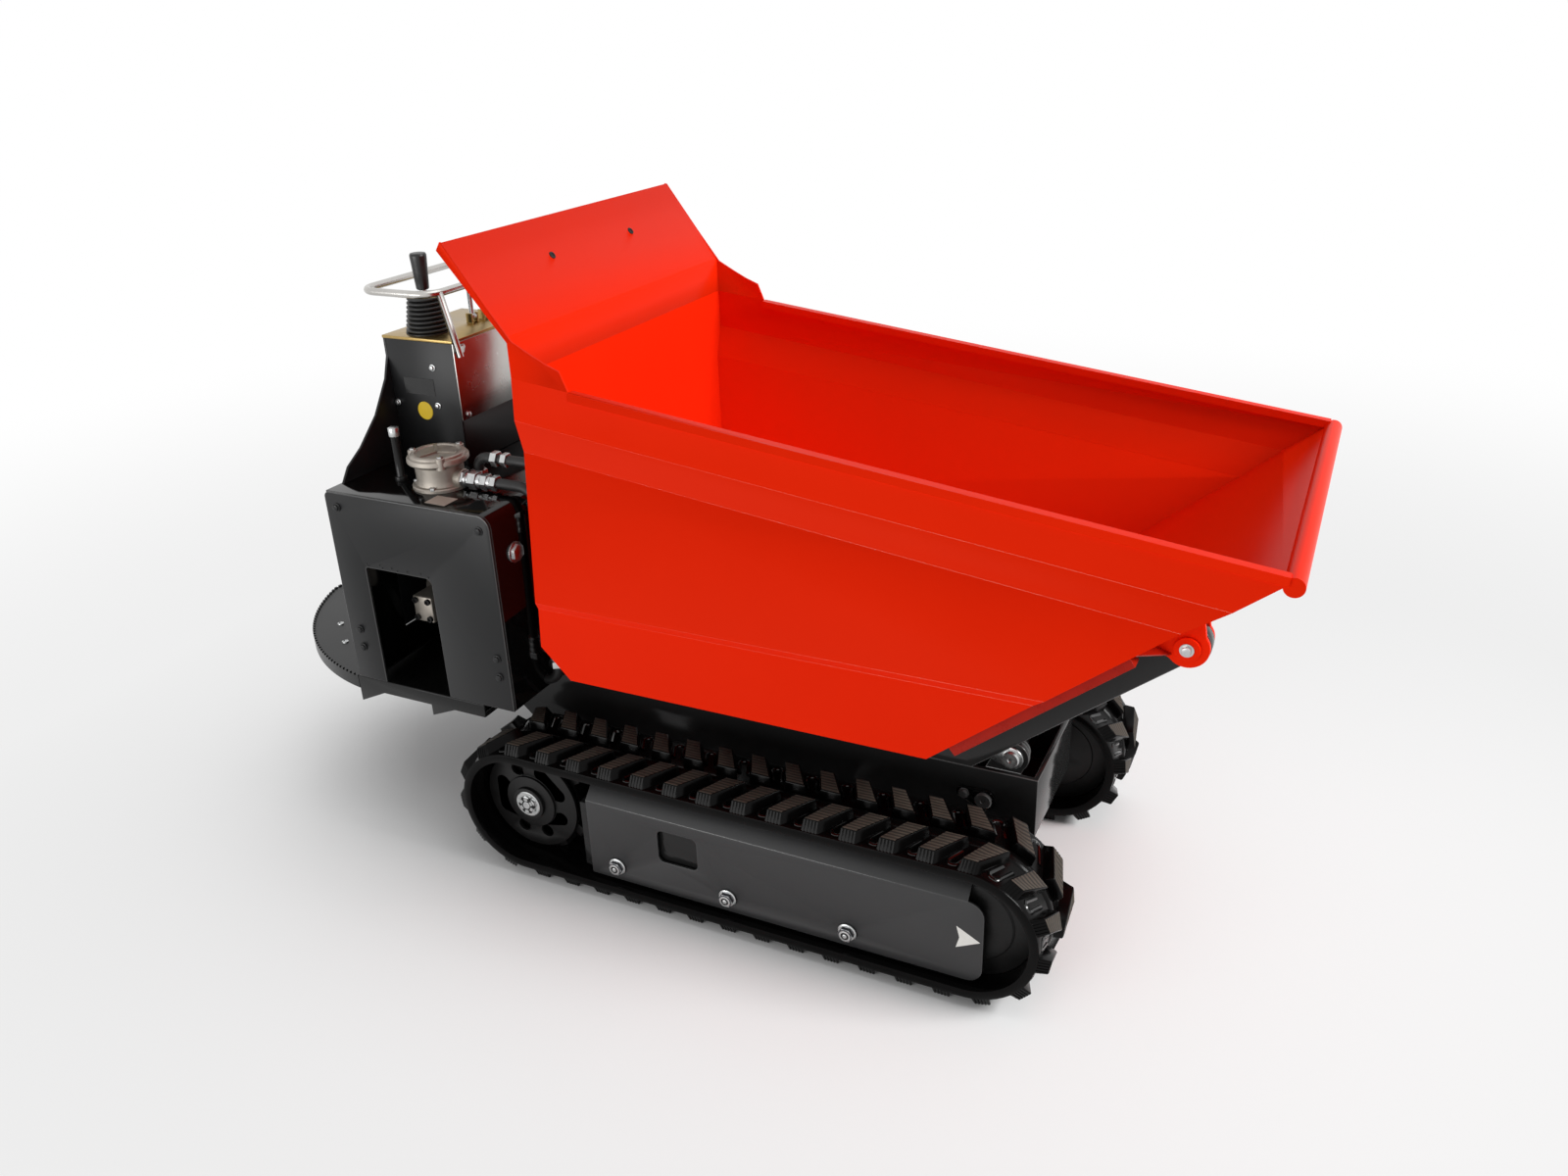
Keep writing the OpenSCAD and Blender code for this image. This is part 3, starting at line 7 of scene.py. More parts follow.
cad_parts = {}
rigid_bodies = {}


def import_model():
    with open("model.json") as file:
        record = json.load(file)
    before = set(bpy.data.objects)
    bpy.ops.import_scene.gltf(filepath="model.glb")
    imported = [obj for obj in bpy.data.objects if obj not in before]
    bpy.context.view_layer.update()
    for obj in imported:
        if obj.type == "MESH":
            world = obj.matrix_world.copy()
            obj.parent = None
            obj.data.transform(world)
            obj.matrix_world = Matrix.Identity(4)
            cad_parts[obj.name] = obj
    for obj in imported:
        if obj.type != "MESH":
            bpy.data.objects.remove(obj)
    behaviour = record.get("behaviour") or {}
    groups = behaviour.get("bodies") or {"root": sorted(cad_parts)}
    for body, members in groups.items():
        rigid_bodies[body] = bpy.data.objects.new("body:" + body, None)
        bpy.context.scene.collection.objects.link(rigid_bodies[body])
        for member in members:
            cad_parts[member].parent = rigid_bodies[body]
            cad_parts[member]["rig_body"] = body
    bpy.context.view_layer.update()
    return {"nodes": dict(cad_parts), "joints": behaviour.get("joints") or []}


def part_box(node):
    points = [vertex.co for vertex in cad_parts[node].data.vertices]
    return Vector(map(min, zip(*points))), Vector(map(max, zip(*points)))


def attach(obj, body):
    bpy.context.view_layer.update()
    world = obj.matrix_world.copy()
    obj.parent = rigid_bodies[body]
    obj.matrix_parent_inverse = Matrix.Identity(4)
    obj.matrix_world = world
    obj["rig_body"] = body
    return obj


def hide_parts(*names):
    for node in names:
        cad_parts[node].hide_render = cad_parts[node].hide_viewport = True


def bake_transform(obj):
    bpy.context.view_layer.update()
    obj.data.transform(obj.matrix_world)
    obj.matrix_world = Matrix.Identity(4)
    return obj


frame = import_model()
scene = bpy.context.scene
scene.view_settings.view_transform = "Standard"

# Camera of the photograph
# A wide-angle lens at head height, off the right front corner of the machine,
# held a little out of level.
swing = math.radians(26.13)
height = math.radians(25.03)
tilt = math.radians(-1.97)
back = Vector((math.sin(swing) * math.cos(height), -math.cos(swing) * math.cos(height),
               math.sin(height)))
right = Vector((math.cos(swing), math.sin(swing), 0.0))
up = back.cross(right)
camera_x = right * math.cos(tilt) + up * math.sin(tilt)
camera_y = up * math.cos(tilt) - right * math.sin(tilt)
lens = bpy.data.cameras.new("photo_camera")
lens.sensor_width = 36.0
lens.lens = 28.76
lens.clip_end = 200.0
camera = bpy.data.objects.new("photo_camera", lens)
camera.matrix_world = Matrix.Translation((0.960, -2.0398, 1.6251)) @ Matrix(
    (camera_x, camera_y, back)).transposed().to_4x4()
scene.collection.objects.link(camera)
scene.camera = camera


# Studio: pale floor, white surroundings and soft lamps
# A seamless paper floor that fades to white with distance, three soft boxes and a fill.
def linear(hex_colour):
    """An sRGB hex colour as the linear values that a shader takes."""
    parts = [int(hex_colour[i:i + 2], 16) / 255 for i in (1, 3, 5)]
    return tuple(c / 12.92 if c <= 0.04045 else ((c + 0.055) / 1.055) ** 2.4
                 for c in parts) + (1.0,)


def add_node(tree, kind, sockets=None, **settings):
    """One node with its settings. A socket given another node's output is linked to it."""
    node = tree.nodes.new(kind)
    for name, value in settings.items():
        setattr(node, name, value)
    for name, value in (sockets or {}).items():
        if isinstance(value, bpy.types.NodeSocket):
            tree.links.new(value, node.inputs[name])
        else:
            node.inputs[name].default_value = value
    return node


def new_object(name, mesh):
    """An object of the mesh, in the scene."""
    piece = bpy.data.objects.new(name, mesh)
    scene.collection.objects.link(piece)
    return piece


floor_r = 40.0
track_reach = (0.60, 0.37, 0.0)
floor_mesh = bpy.data.meshes.new("studio_floor")
sheet = bmesh.new()
bmesh.ops.create_circle(sheet, cap_ends=True, segments=96, radius=floor_r)
sheet.to_mesh(floor_mesh)
sheet.free()
studio_floor = new_object("studio_floor", floor_mesh)

# Matt paper mixed with a white glow. The glow gives way to the matt paper near the machine and where
# the AO node finds the floor sheltered, so painted shade deepens the real shadow there; further out
# it turns to plain white
paper = bpy.data.materials.new("seamless_paper")
paper.use_nodes = True
tree = paper.node_tree
tree.nodes.clear()
place = add_node(tree, "ShaderNodeTexCoord")
mirrored = add_node(tree, "ShaderNodeVectorMath", {0: place.outputs["Object"]},
                    operation="ABSOLUTE")
past_tracks = add_node(tree, "ShaderNodeVectorMath", {
    0: mirrored.outputs[0], 1: track_reach}, operation="SUBTRACT")
outside = add_node(tree, "ShaderNodeVectorMath", {
    0: past_tracks.outputs[0], 1: (0.0, 0.0, 0.0)}, operation="MAXIMUM")
reach = add_node(tree, "ShaderNodeVectorMath", {0: outside.outputs[0]}, operation="LENGTH")
further = add_node(tree, "ShaderNodeMapRange", {
    "Value": reach.outputs["Value"], "From Max": 1.4, "To Min": 0.66, "To Max": 1.0})
shelter = add_node(tree, "ShaderNodeAmbientOcclusion", {"Distance": 0.6}, samples=8)
in_open = add_node(tree, "ShaderNodeMapRange", {
    "Value": shelter.outputs["AO"], "From Min": 0.55, "From Max": 0.95})
fade = add_node(tree, "ShaderNodeMath", {
    0: in_open.outputs["Result"], 1: further.outputs["Result"]}, operation="MULTIPLY")
far_off = add_node(tree, "ShaderNodeMapRange", {
    "Value": reach.outputs["Value"], "From Min": 1.2, "From Max": 4.4, "To Min": 0.86, "To Max": 1.0},
    interpolation_type="SMOOTHSTEP")
matt = add_node(tree, "ShaderNodeBsdfDiffuse", {"Color": linear("#FAFAFA")})
glow = add_node(tree, "ShaderNodeEmission", {
    "Color": (1, 1, 1, 1), "Strength": far_off.outputs["Result"]})
blend = add_node(tree, "ShaderNodeMixShader", {
    0: fade.outputs[0], 1: matt.outputs[0], 2: glow.outputs[0]})
add_node(tree, "ShaderNodeOutputMaterial", {"Surface": blend.outputs[0]})
floor_mesh.materials.append(paper)

world = bpy.data.worlds.new("studio_world")
scene.world = world
world.use_nodes = True
tree = world.node_tree
tree.nodes.clear()
path = add_node(tree, "ShaderNodeLightPath")
shiny = add_node(tree, "ShaderNodeMath", {
    0: path.outputs["Is Glossy Ray"], 1: path.outputs["Is Transmission Ray"]},
    operation="MAXIMUM")
seen = add_node(tree, "ShaderNodeMath", {
    0: path.outputs["Is Camera Ray"], 1: shiny.outputs[0]}, operation="MAXIMUM")
white = add_node(tree, "ShaderNodeBackground", {"Color": (1, 1, 1, 1), "Strength": 1.0})
fill = add_node(tree, "ShaderNodeBackground", {"Color": (1, 1, 1, 1), "Strength": 0.33})
mixed = add_node(tree, "ShaderNodeMixShader", {
    0: seen.outputs[0], 1: fill.outputs[0], 2: white.outputs[0]})
add_node(tree, "ShaderNodeOutputWorld", {"Surface": mixed.outputs[0]})


def soft_box(name, where, aim, size, power):
    """A soft rectangular lamp that hangs at one point and faces another."""
    lamp = bpy.data.lights.new(name, "AREA")
    lamp.shape = "RECTANGLE"
    lamp.size, lamp.size_y = size
    lamp.energy = power
    holder = bpy.data.objects.new(name, lamp)
    holder.location = where
    holder.rotation_euler = (Vector(aim) - Vector(where)).to_track_quat("-Z", "Y").to_euler()
    scene.collection.objects.link(holder)


soft_box("key_box", (-1.9, -4.1, 0.95), (-0.3, 0.0, 0.7), (3.2, 1.5), 66.0)
soft_box("front_box", (3.9, 0.3, 2.6), (-0.3, 0.0, 0.9), (1.6, 1.6), 170.0)
soft_box("top_box", (1.0, 0.2, 4.4), (0.2, 0.0, 0.4), (3.0, 2.6), 30.0)


# Chassis frame
# Two welded side plates with a floor, a nose plate, cross tubes and pivot lugs, sprayed
# in one coat of gloss black.
def new_finish(name, dark, light, rough, grain, patch, relief, **shader):
    """A material whose colour and gloss drift in patches, under a fine relief.

    rough is the lowest and highest roughness, grain and patch are sizes in metres, and shader
    holds other values of the Principled shader.
    """
    material = bpy.data.materials.new(name)
    material.use_nodes = True
    tree = material.node_tree
    surface = tree.nodes["Principled BSDF"]
    for socket, value in shader.items():
        surface.inputs[socket.replace("_", " ")].default_value = value
    coords = add_node(tree, "ShaderNodeTexCoord", name="coords").outputs["Object"]
    drift = add_node(tree, "ShaderNodeTexNoise", {
        "Vector": coords, "Scale": 1 / patch, "Detail": 4.0, "Roughness": 0.6})
    fine = add_node(tree, "ShaderNodeTexNoise", {
        "Vector": coords, "Scale": 1 / grain, "Detail": 2.0})
    tone = add_node(tree, "ShaderNodeMix", {
        0: drift.outputs["Fac"], 6: linear(dark), 7: linear(light)}, data_type="RGBA", name="tone")
    gloss = add_node(tree, "ShaderNodeMapRange", {
        "Value": drift.outputs["Fac"], "From Min": 0.2, "From Max": 0.8,
        "To Min": rough[0], "To Max": rough[1]})
    skin = add_node(tree, "ShaderNodeBump", {
        "Height": fine.outputs["Fac"], "Strength": relief, "Distance": 0.0008}, name="skin")
    tree.links.new(tone.outputs[2], surface.inputs["Base Color"])
    tree.links.new(gloss.outputs["Result"], surface.inputs["Roughness"])
    tree.links.new(skin.outputs["Normal"], surface.inputs["Normal"])
    return material


def own(piece, body, slot, *nodes):
    """The piece moves with the body and stands for the nodes, which are hidden; slot is not used."""
    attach(piece, body)
    if nodes:
        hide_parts(*nodes)
    return piece


def to_piece(name, bm, *finishes, crease=32):
    """An object made of the finished mesh, smooth but for edges sharper than the crease."""
    mesh = bpy.data.meshes.new(name)
    for face in bm.faces:
        face.smooth = True
    bm.to_mesh(mesh)
    bm.free()
    mesh.set_sharp_from_angle(angle=math.radians(crease))
    for finish in finishes:
        mesh.materials.append(finish)
    return new_object(name, mesh)


def merged_copy(node):
    """A bmesh of a node, with its triangles merged back to flat faces."""
    bm = bmesh.new()
    bm.from_mesh(frame["nodes"][node].data)
    bmesh.ops.remove_doubles(bm, verts=bm.verts, dist=1e-5)
    bmesh.ops.dissolve_limit(bm, angle_limit=math.radians(0.4), verts=bm.verts, edges=bm.edges)
    return bm


def turning_edges(bm, low, high, shortest=0.0):
    """The edges whose two faces turn by more than one angle and less than another, in degrees."""
    return [e for e in bm.edges if len(e.link_faces) == 2 and e.calc_length() >= shortest
            and math.radians(low) < e.calc_face_angle(0.0) < math.radians(high)]


def softened(node, width, finish, slot, crease=32, low=32, segments=2, edge=None):
    """A copy of a node with its cut edges broken by a small round, where the node is.

    edge is a finish of its own for those rounds, which carries a painted highlight.
    """
    bm = merged_copy(node)
    rounds = []
    if width > 0:
        made = bmesh.ops.bevel(bm, geom=turning_edges(bm, low, 180), offset=width,
                               offset_type="OFFSET", segments=segments, profile=0.5,
                               affect="EDGES", material=-1, clamp_overlap=False)
        rounds = made["faces"] if edge else []
    for face in bm.faces:
        face.material_index = 0
    for face in rounds:
        face.material_index = 1
    finishes = (finish, edge) if edge else (finish,)
    piece = to_piece(node + "_made", bm, *finishes, crease=crease)
    return own(piece, frame["nodes"][node]["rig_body"], slot, node)


# Gloss chassis enamel: near black, sharp reflections over a faint orange peel, dusty in patches
chassis_enamel = new_finish(
    "gloss_black_enamel", "#1B1B1B", "#252525", IOR=1.5, Specular_IOR_Level=0.22,
    rough=(0.10, 0.20), grain=0.0030, patch=0.22, relief=0.05)

# The same enamel painted a lighter grey on the rounded edges, as a painted highlight along them
edge_highlight_enamel = new_finish(
    "painted_edge_highlight", "#2A2A2A", "#525252", IOR=1.5,
    rough=(0.16, 0.28), grain=0.0030, patch=0.06, relief=0.05)

softened("chassis_frame", 0.0015, chassis_enamel, "chassis_paint", edge=edge_highlight_enamel)


# Track frames, idler yokes and drive motors
# Pressed channels and flame-cut arms, painted with the chassis. The cast motors bolt to the webs.

# Cast iron under thin black paint: grainy and less glossy
painted_casting = new_finish(
    "black_painted_casting", "#090909", "#141313", IOR=1.5, Specular_IOR_Level=0.25,
    rough=(0.36, 0.55), grain=0.0040, patch=0.06, relief=0.25)

for node in ("track_frame_right", "track_frame_left", "idler_yokes"):
    softened(node, 0.0010, chassis_enamel, "chassis_paint")
softened("drive_motors", 0.0015, painted_casting, "cast")


# Idlers, rollers and sprockets
# Cast wheels that run inside the belt. The sprocket's flange has slots, and a hexagon nut with
# raised spokes holds it on the motor's shaft.
joint_at = {joint["name"]: Vector(joint["pos_m"]) for joint in frame["joints"]
            if joint["type"] == "hinge"}
link_pitch = 0.072
link_count = 37
sprocket_teeth = 11
pitch_r = link_pitch * sprocket_teeth / math.tau
half_turn = math.pi * pitch_r
axle_gap = link_pitch * link_count / 2 - half_turn
lug_top = 0.030
axle_z = pitch_r + lug_top
belt_centre_y = joint_at["sprocket_left_spin"].y
hub_face = 0.054
outward = {-1: "-Y", 1: "Y"}

# Bright zinc plating on turned and formed steel: light grey, with clouds in its gloss
zinc_plate = new_finish(
    "bright_zinc_plate", "#A9ABAC", "#D2D3D2", Metallic=1.0,
    rough=(0.22, 0.38), grain=0.0020, patch=0.012, relief=0.10)


def linked_verts(start):
    """All the vertices joined to the given ones."""
    found = set(start)
    unsearched = list(start)
    while unsearched:
        vert = unsearched.pop()
        for edge in vert.link_edges:
            other = edge.other_vert(vert)
            if other not in found:
                found.add(other)
                unsearched.append(other)
    return found


def facing(place, axis):
    """The matrix that stands a form at a place, with its height along an axis."""
    turn = {"X": Matrix.Rotation(math.pi / 2, 4, "Y"), "Y": Matrix.Rotation(-math.pi / 2, 4, "X"),
            "Z": Matrix.Identity(4), "-Y": Matrix.Rotation(math.pi / 2, 4, "X")}[axis]
    return Matrix.Translation(place) @ turn


def turned(bm, profile, place, axis="Z", steps=32, material=0):
    """A lathe-turned form: radius and height pairs spun round an axis through place."""
    rings = [bm.verts.new((r, 0.0, h)) for r, h in profile]
    edges = [bm.edges.new(pair) for pair in zip(rings, rings[1:])]
    bmesh.ops.spin(bm, geom=rings + edges, cent=(0, 0, 0), axis=(0, 0, 1),
                   angle=math.tau, steps=steps, use_merge=True)
    verts = linked_verts(rings)
    bmesh.ops.remove_doubles(bm, verts=list(verts), dist=1e-6)
    verts = linked_verts([v for v in verts if v.is_valid])
    faces = list({f for v in verts for f in v.link_faces})
    bmesh.ops.recalc_face_normals(bm, faces=faces)
    for face in faces:
        face.material_index = material
    bmesh.ops.transform(bm, matrix=facing(place, axis), verts=list(verts))
    return list(verts)


def hexagon(bm, r, h, place, axis="Z", material=0):
    """A hexagon nut or bolt head with turned-down corners, standing at place."""
    verts = bmesh.ops.create_cone(
        bm, cap_ends=True, segments=6, radius1=r, radius2=r, depth=h)["verts"]
    bmesh.ops.translate(bm, verts=verts, vec=(0, 0, h / 2))
    top = [e for e in {e for v in verts for e in v.link_edges}
           if all(v.co.z > h * 0.9 for v in e.verts)]
    cut = bmesh.ops.bevel(bm, geom=top, offset=r * 0.14, segments=2, profile=0.5,
                          affect="EDGES", material=-1)
    verts = linked_verts(cut["verts"])
    for face in {f for v in verts for f in v.link_faces}:
        face.material_index = material
    bmesh.ops.transform(bm, matrix=facing(place, axis), verts=list(verts))


def block(bm, size, place):
    """A cuboid of the given size, put in its place by a matrix."""
    verts = bmesh.ops.create_cube(bm, size=1.0)["verts"]
    bmesh.ops.transform(bm, matrix=place @ Matrix.Diagonal((*size, 1)), verts=verts)
    return verts


for node in ("idler_right", "idler_left"):
    softened(node, 0.0020, painted_casting, "wheel_iron")
for side, out in (("right", -1), ("left", 1)):
    for place_name in ("rear", "mid", "front"):
        softened("roller_" + side + "_" + place_name, 0.0015, painted_casting, "wheel_iron")
    softened("sprocket_" + side, 0.0012, painted_casting, "wheel_iron")
    hub = joint_at["sprocket_" + side + "_spin"] + Vector((0, out * hub_face, 0))
    nut = bmesh.new()
    turned(nut, [(0.0, 0.0012), (0.027, 0.0012), (0.0285, 0.0)], hub, outward[out], 32)
    hexagon(nut, 0.0225, 0.0055, hub, outward[out])
    turned(nut, [(0.0, 0.0068), (0.0075, 0.0068), (0.0088, 0.0056), (0.0088, 0.005)], hub,
           outward[out], 20)
    for i in range(6):
        block(nut, (0.006, 0.0016, 0.0085), Matrix.Translation(hub + Vector((0, out * 0.0056, 0)))
              @ Matrix.Rotation(math.radians(60 * i + 30), 4, "Y")
              @ Matrix.Translation((0.0135, 0, 0)))
    own(to_piece("hub_nut_" + side, nut, zinc_plate), "sprocket_" + side, "zinc")


# Roller axles
# Turned axles through both webs, with a flanged nut outside the cover, all zinc plated.
roller_gap = joint_at["roller_left_front_spin"].x
roller_z = joint_at["roller_left_front_spin"].z
nut_foot_y = belt_centre_y + 0.0755
thread_r = 0.009


def split_finish(piece, finish, is_other):
    """A second finish on the faces that the test picks."""
    piece.data.materials.append(finish)
    for face in piece.data.polygons:
        if is_other(face.center):
            face.material_index = 1


axles = softened("roller_axles", 0.0008, zinc_plate, "zinc")

# Zinc on the nuts' flats painted darker than the flanges: painted shade for the darker reflections on
# the flats
shaded_zinc = new_finish(
    "painted_shade_zinc", "#55565A", "#77787B", Metallic=1.0,
    rough=(0.22, 0.34), grain=0.0015, patch=0.01, relief=0.10)
split_finish(axles, shaded_zinc, lambda c: abs(c.y) > nut_foot_y + 0.001 and math.hypot(
    (c.x + roller_gap / 2) % roller_gap - roller_gap / 2, c.z - roller_z) > thread_r)

# Flange, axle point and a black ring round the thread on each nut: the ring is painted shade in the
# gap between nut and axle point
ends = bmesh.new()
for out in (-1, 1):
    for x in (-roller_gap, 0.0, roller_gap):
        seat = (x, out * nut_foot_y, roller_z)
        inset = (x, out * (nut_foot_y - 0.001), roller_z)
        turned(ends, [(0.0185, 0.0), (0.0185, 0.0018), (0.0165, 0.0032), (0.0120, 0.0034)], seat,
               outward[out], 28)
        turned(ends, [(0.0, 0.0150), (0.0032, 0.0150), (0.0044, 0.0142), (0.0044, 0.0130)], inset,
               outward[out], 16)
        turned(ends, [(0.0045, 0.0136), (0.0078, 0.0136), (0.0078, 0.0120)], inset, outward[out],
               20, material=1)
own(to_piece("axle_nut_flanges", ends, zinc_plate, painted_casting), "chassis", "zinc")


# Track side covers
# Folded sheet with a hatch hole, in satin charcoal. A plain white arrow shows the way of travel.

# Satin charcoal powder coat: a soft even sheen with the fine pebble of powder
cover_powder = new_finish(
    "satin_charcoal_powder", "#222223", "#2B2B2C", IOR=1.5,
    rough=(0.36, 0.48), grain=0.0022, patch=0.30, relief=0.12)

softened("track_covers", 0.0012, cover_powder, "cover_paint", edge=edge_highlight_enamel)

# Screen-printed white: matt, a little yellowed
white_print = new_finish(
    "matt_white_print", "#DAD8D2", "#EFEEEA", IOR=1.45,
    rough=(0.55, 0.7), grain=0.0020, patch=0.02, relief=0.05)


def plate(bm, corners, way):
    """A plate: the face through the corners, drawn out by a vector."""
    face = bm.faces.new([bm.verts.new(c) for c in corners])
    drawn = bmesh.ops.extrude_face_region(bm, geom=[face])
    far_side = [v for v in drawn["geom"] if isinstance(v, bmesh.types.BMVert)]
    bmesh.ops.translate(bm, vec=way, verts=far_side)
    return face, far_side


cover_face_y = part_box("track_covers")[1].y + 0.0002
print_t = 0.0003
arrows = bmesh.new()
for out in (-1, 1):
    corners = [(0.453, 0.163), (0.497, 0.139), (0.453, 0.116), (0.459, 0.139)]
    plate(arrows, [(x, out * cover_face_y, z) for x, z in corners], (0, out * print_t, 0))
bmesh.ops.recalc_face_normals(arrows, faces=arrows.faces)
own(to_piece("cover_arrows", arrows, white_print), "chassis", "cover_paint")


# Rubber tracks
# Moulded belts with two rows of slanted lugs. The lug tops are worn to a brown-grey matt face
# with fine moulded lines, and their sides and the pockets between stay glossy black.
belt_length = 2 * (axle_gap + half_turn)
lug_foot = 0.007
lug_rise = lug_top - lug_foot
lug_mid_y = -0.05
lug_lean = 0.011

# Moulded tread rubber: black, glossy where the mould was polished
tread_rubber = new_finish(
    "moulded_tread_rubber", "#040404", "#090808", IOR=1.52, Specular_IOR_Level=0.08,
    rough=(0.14, 0.26), grain=0.0035, patch=0.05, relief=0.06)

# The polished rim round each pocket of the mould: the same rubber, mirror smooth
pocket_rubber = new_finish(
    "polished_pocket_rubber", "#050505", "#090909", IOR=1.52,
    rough=(0.06, 0.12), grain=0.0035, patch=0.05, relief=0.02)

# Worn lug faces: dry brown-grey rubber, with moulded lines 4 mm apart along the belt
worn_rubber = new_finish(
    "worn_lug_rubber", "#332E2A", "#5E554A", IOR=1.45, Specular_IOR_Level=0.25,
    rough=(0.55, 0.80), grain=0.0030, patch=0.035, relief=0.3)
line_gap = 0.004
tree = worn_rubber.node_tree
surface = tree.nodes["Principled BSDF"]
lines = add_node(tree, "ShaderNodeTexWave", {
    "Vector": tree.nodes["coords"].outputs["Object"], "Scale": math.pi / (20 * line_gap),
    "Distortion": 0.6, "Detail": 1.0}, wave_type="BANDS", bands_direction="Y")
ribs = add_node(tree, "ShaderNodeBump", {
    "Height": lines.outputs["Fac"], "Strength": 0.6, "Distance": 0.0008,
    "Normal": tree.nodes["skin"].outputs["Normal"]})
lined = add_node(tree, "ShaderNodeMix", {
    0: lines.outputs["Fac"], 6: linear("#24211E"), 7: tree.nodes["tone"].outputs[2]},
    data_type="RGBA")
tree.links.new(lined.outputs[2], surface.inputs["Base Color"])
tree.links.new(ribs.outputs["Normal"], surface.inputs["Normal"])


def on_loop(along, across, out):
    """Where a point of the flat belt comes to lie round the two wheels."""
    d = along % belt_length
    r = pitch_r + out
    if d < axle_gap:
        return Vector((d - axle_gap / 2, across, axle_z + r))
    if d < axle_gap + half_turn:
        turn = (d - axle_gap) / pitch_r
        return Vector((axle_gap / 2 + r * math.sin(turn), across, axle_z + r * math.cos(turn)))
    if d < 2 * axle_gap + half_turn:
        return Vector((axle_gap / 2 - (d - axle_gap - half_turn), across, axle_z - r))
    turn = math.pi + (d - 2 * axle_gap - half_turn) / pitch_r
    return Vector((-axle_gap / 2 + r * math.sin(turn), across, axle_z + r * math.cos(turn)))


# One lug of the right-hand row, drawn flat: +X along the belt, +Z out of it
lug = bmesh.new()
foot = [(-0.035, -0.087), (0.001, -0.087), (0.040, -0.013), (-0.006, -0.013)]
base, crown = plate(lug, [(x, y, lug_foot) for x, y in foot], (0, 0, lug_rise))
for v in crown:
    middle_x = 0.017 if v.co.y > lug_mid_y else -0.017
    v.co.x += 0.0025 if v.co.x < middle_x else -0.0025
    v.co.y += lug_lean if v.co.y < lug_mid_y else -0.002
bmesh.ops.delete(lug, geom=[f for f in lug.faces if f.normal.z < -0.9 or f == base],
                 context="FACES_ONLY")
bmesh.ops.recalc_face_normals(lug, faces=lug.faces)
if sum(f.normal.z for f in lug.faces) < 0:
    bmesh.ops.reverse_faces(lug, faces=lug.faces)
top_edges = [e for e in lug.edges if all(v.co.z > lug_top - 0.001 for v in e.verts)]
upright = [e for e in lug.edges if abs(e.verts[0].co.z - e.verts[1].co.z) > 0.01]
bmesh.ops.bevel(lug, geom=top_edges + upright, offset=0.0022, segments=2, profile=0.5,
                affect="EDGES", material=-1, clamp_overlap=True)
for face in lug.faces:
    face.material_index = 1 if face.normal.z > 0.95 else 0
for i in range(5):
    block(lug, (0.0030, 0.0028, 0.0235), Matrix.Translation((-0.0294 + 0.0062 * i, -0.0815, 0.0172))
          @ Matrix.Rotation(-math.atan2(lug_lean, lug_rise), 4, "X"))

# The rim of the pocket behind the lug: a rod bent to a U, half sunk in the carcass
bend_at = Vector((0.0287, -0.0655, 0.0065))
rod = bmesh.ops.create_circle(lug, segments=10, radius=0.0055, matrix=Matrix.Translation(
    bend_at + Vector((-0.0102, 0, 0))) @ Matrix.Rotation(math.pi / 2, 4, "X"))
start = rod["verts"]
start_edges = list({e for v in start for e in v.link_edges})
bent = bmesh.ops.spin(lug, geom=start + start_edges, cent=bend_at, axis=(0, 0, 1), angle=math.pi,
                      steps=8)
legs = ((start_edges, Vector((0.0147, 0.031, 0))),
        ([e for e in bent["geom_last"] if isinstance(e, bmesh.types.BMEdge)],
         Vector((0.0137, 0.031, 0))))
for rim, way in legs:
    grown = bmesh.ops.extrude_edge_only(lug, edges=rim)
    bmesh.ops.translate(lug, vec=way,
                        verts=[v for v in grown["geom"] if isinstance(v, bmesh.types.BMVert)])
    tip = [e for e in grown["geom"] if isinstance(e, bmesh.types.BMEdge) and e.is_boundary]
    bmesh.ops.contextual_create(lug, geom=tip)
rod_verts = linked_verts(start)
rod_faces = list({f for v in rod_verts for f in v.link_faces})
bmesh.ops.recalc_face_normals(lug, faces=rod_faces)
for face in rod_faces:
    face.material_index = 2
lug_mesh = bpy.data.meshes.new("lug")
lug.to_mesh(lug_mesh)
lug.free()

# The carcass between the lugs: one section swept along the belt and laid round the wheels
cuts = 5
carcass = bmesh.new()
half = [(0.008, 0.0125), (0.012, 0.0095), (0.030, 0.0085), (0.060, 0.0095), (0.084, 0.010),
        (0.0885, 0.0085), (0.090, 0.004), (0.090, -0.005), (0.089, -0.0085), (0.084, -0.010),
        (0.024, -0.010), (0.022, -0.008), (0.022, -0.001)]
section = [(0.0, 0.0135)] + half + [(-y, out) for y, out in half[::-1]]
ring = [carcass.verts.new((0.0, y, out)) for y, out in section]
loop_edges = [carcass.edges.new(pair) for pair in zip(ring, ring[1:] + ring[:1])]
bmesh.ops.spin(carcass, geom=ring + loop_edges, cent=(0, 0, 0), axis=(0, 0, 1), angle=0.0,
               dvec=(link_pitch / cuts, 0, 0), steps=link_count * cuts)
for v in carcass.verts:
    v.co = on_loop(v.co.x, v.co.y, v.co.z)
bmesh.ops.remove_doubles(carcass, verts=carcass.verts, dist=1e-5)
bmesh.ops.recalc_face_normals(carcass, faces=carcass.faces)
carcass_mesh = bpy.data.meshes.new("carcass")
carcass.to_mesh(carcass_mesh)
carcass.free()

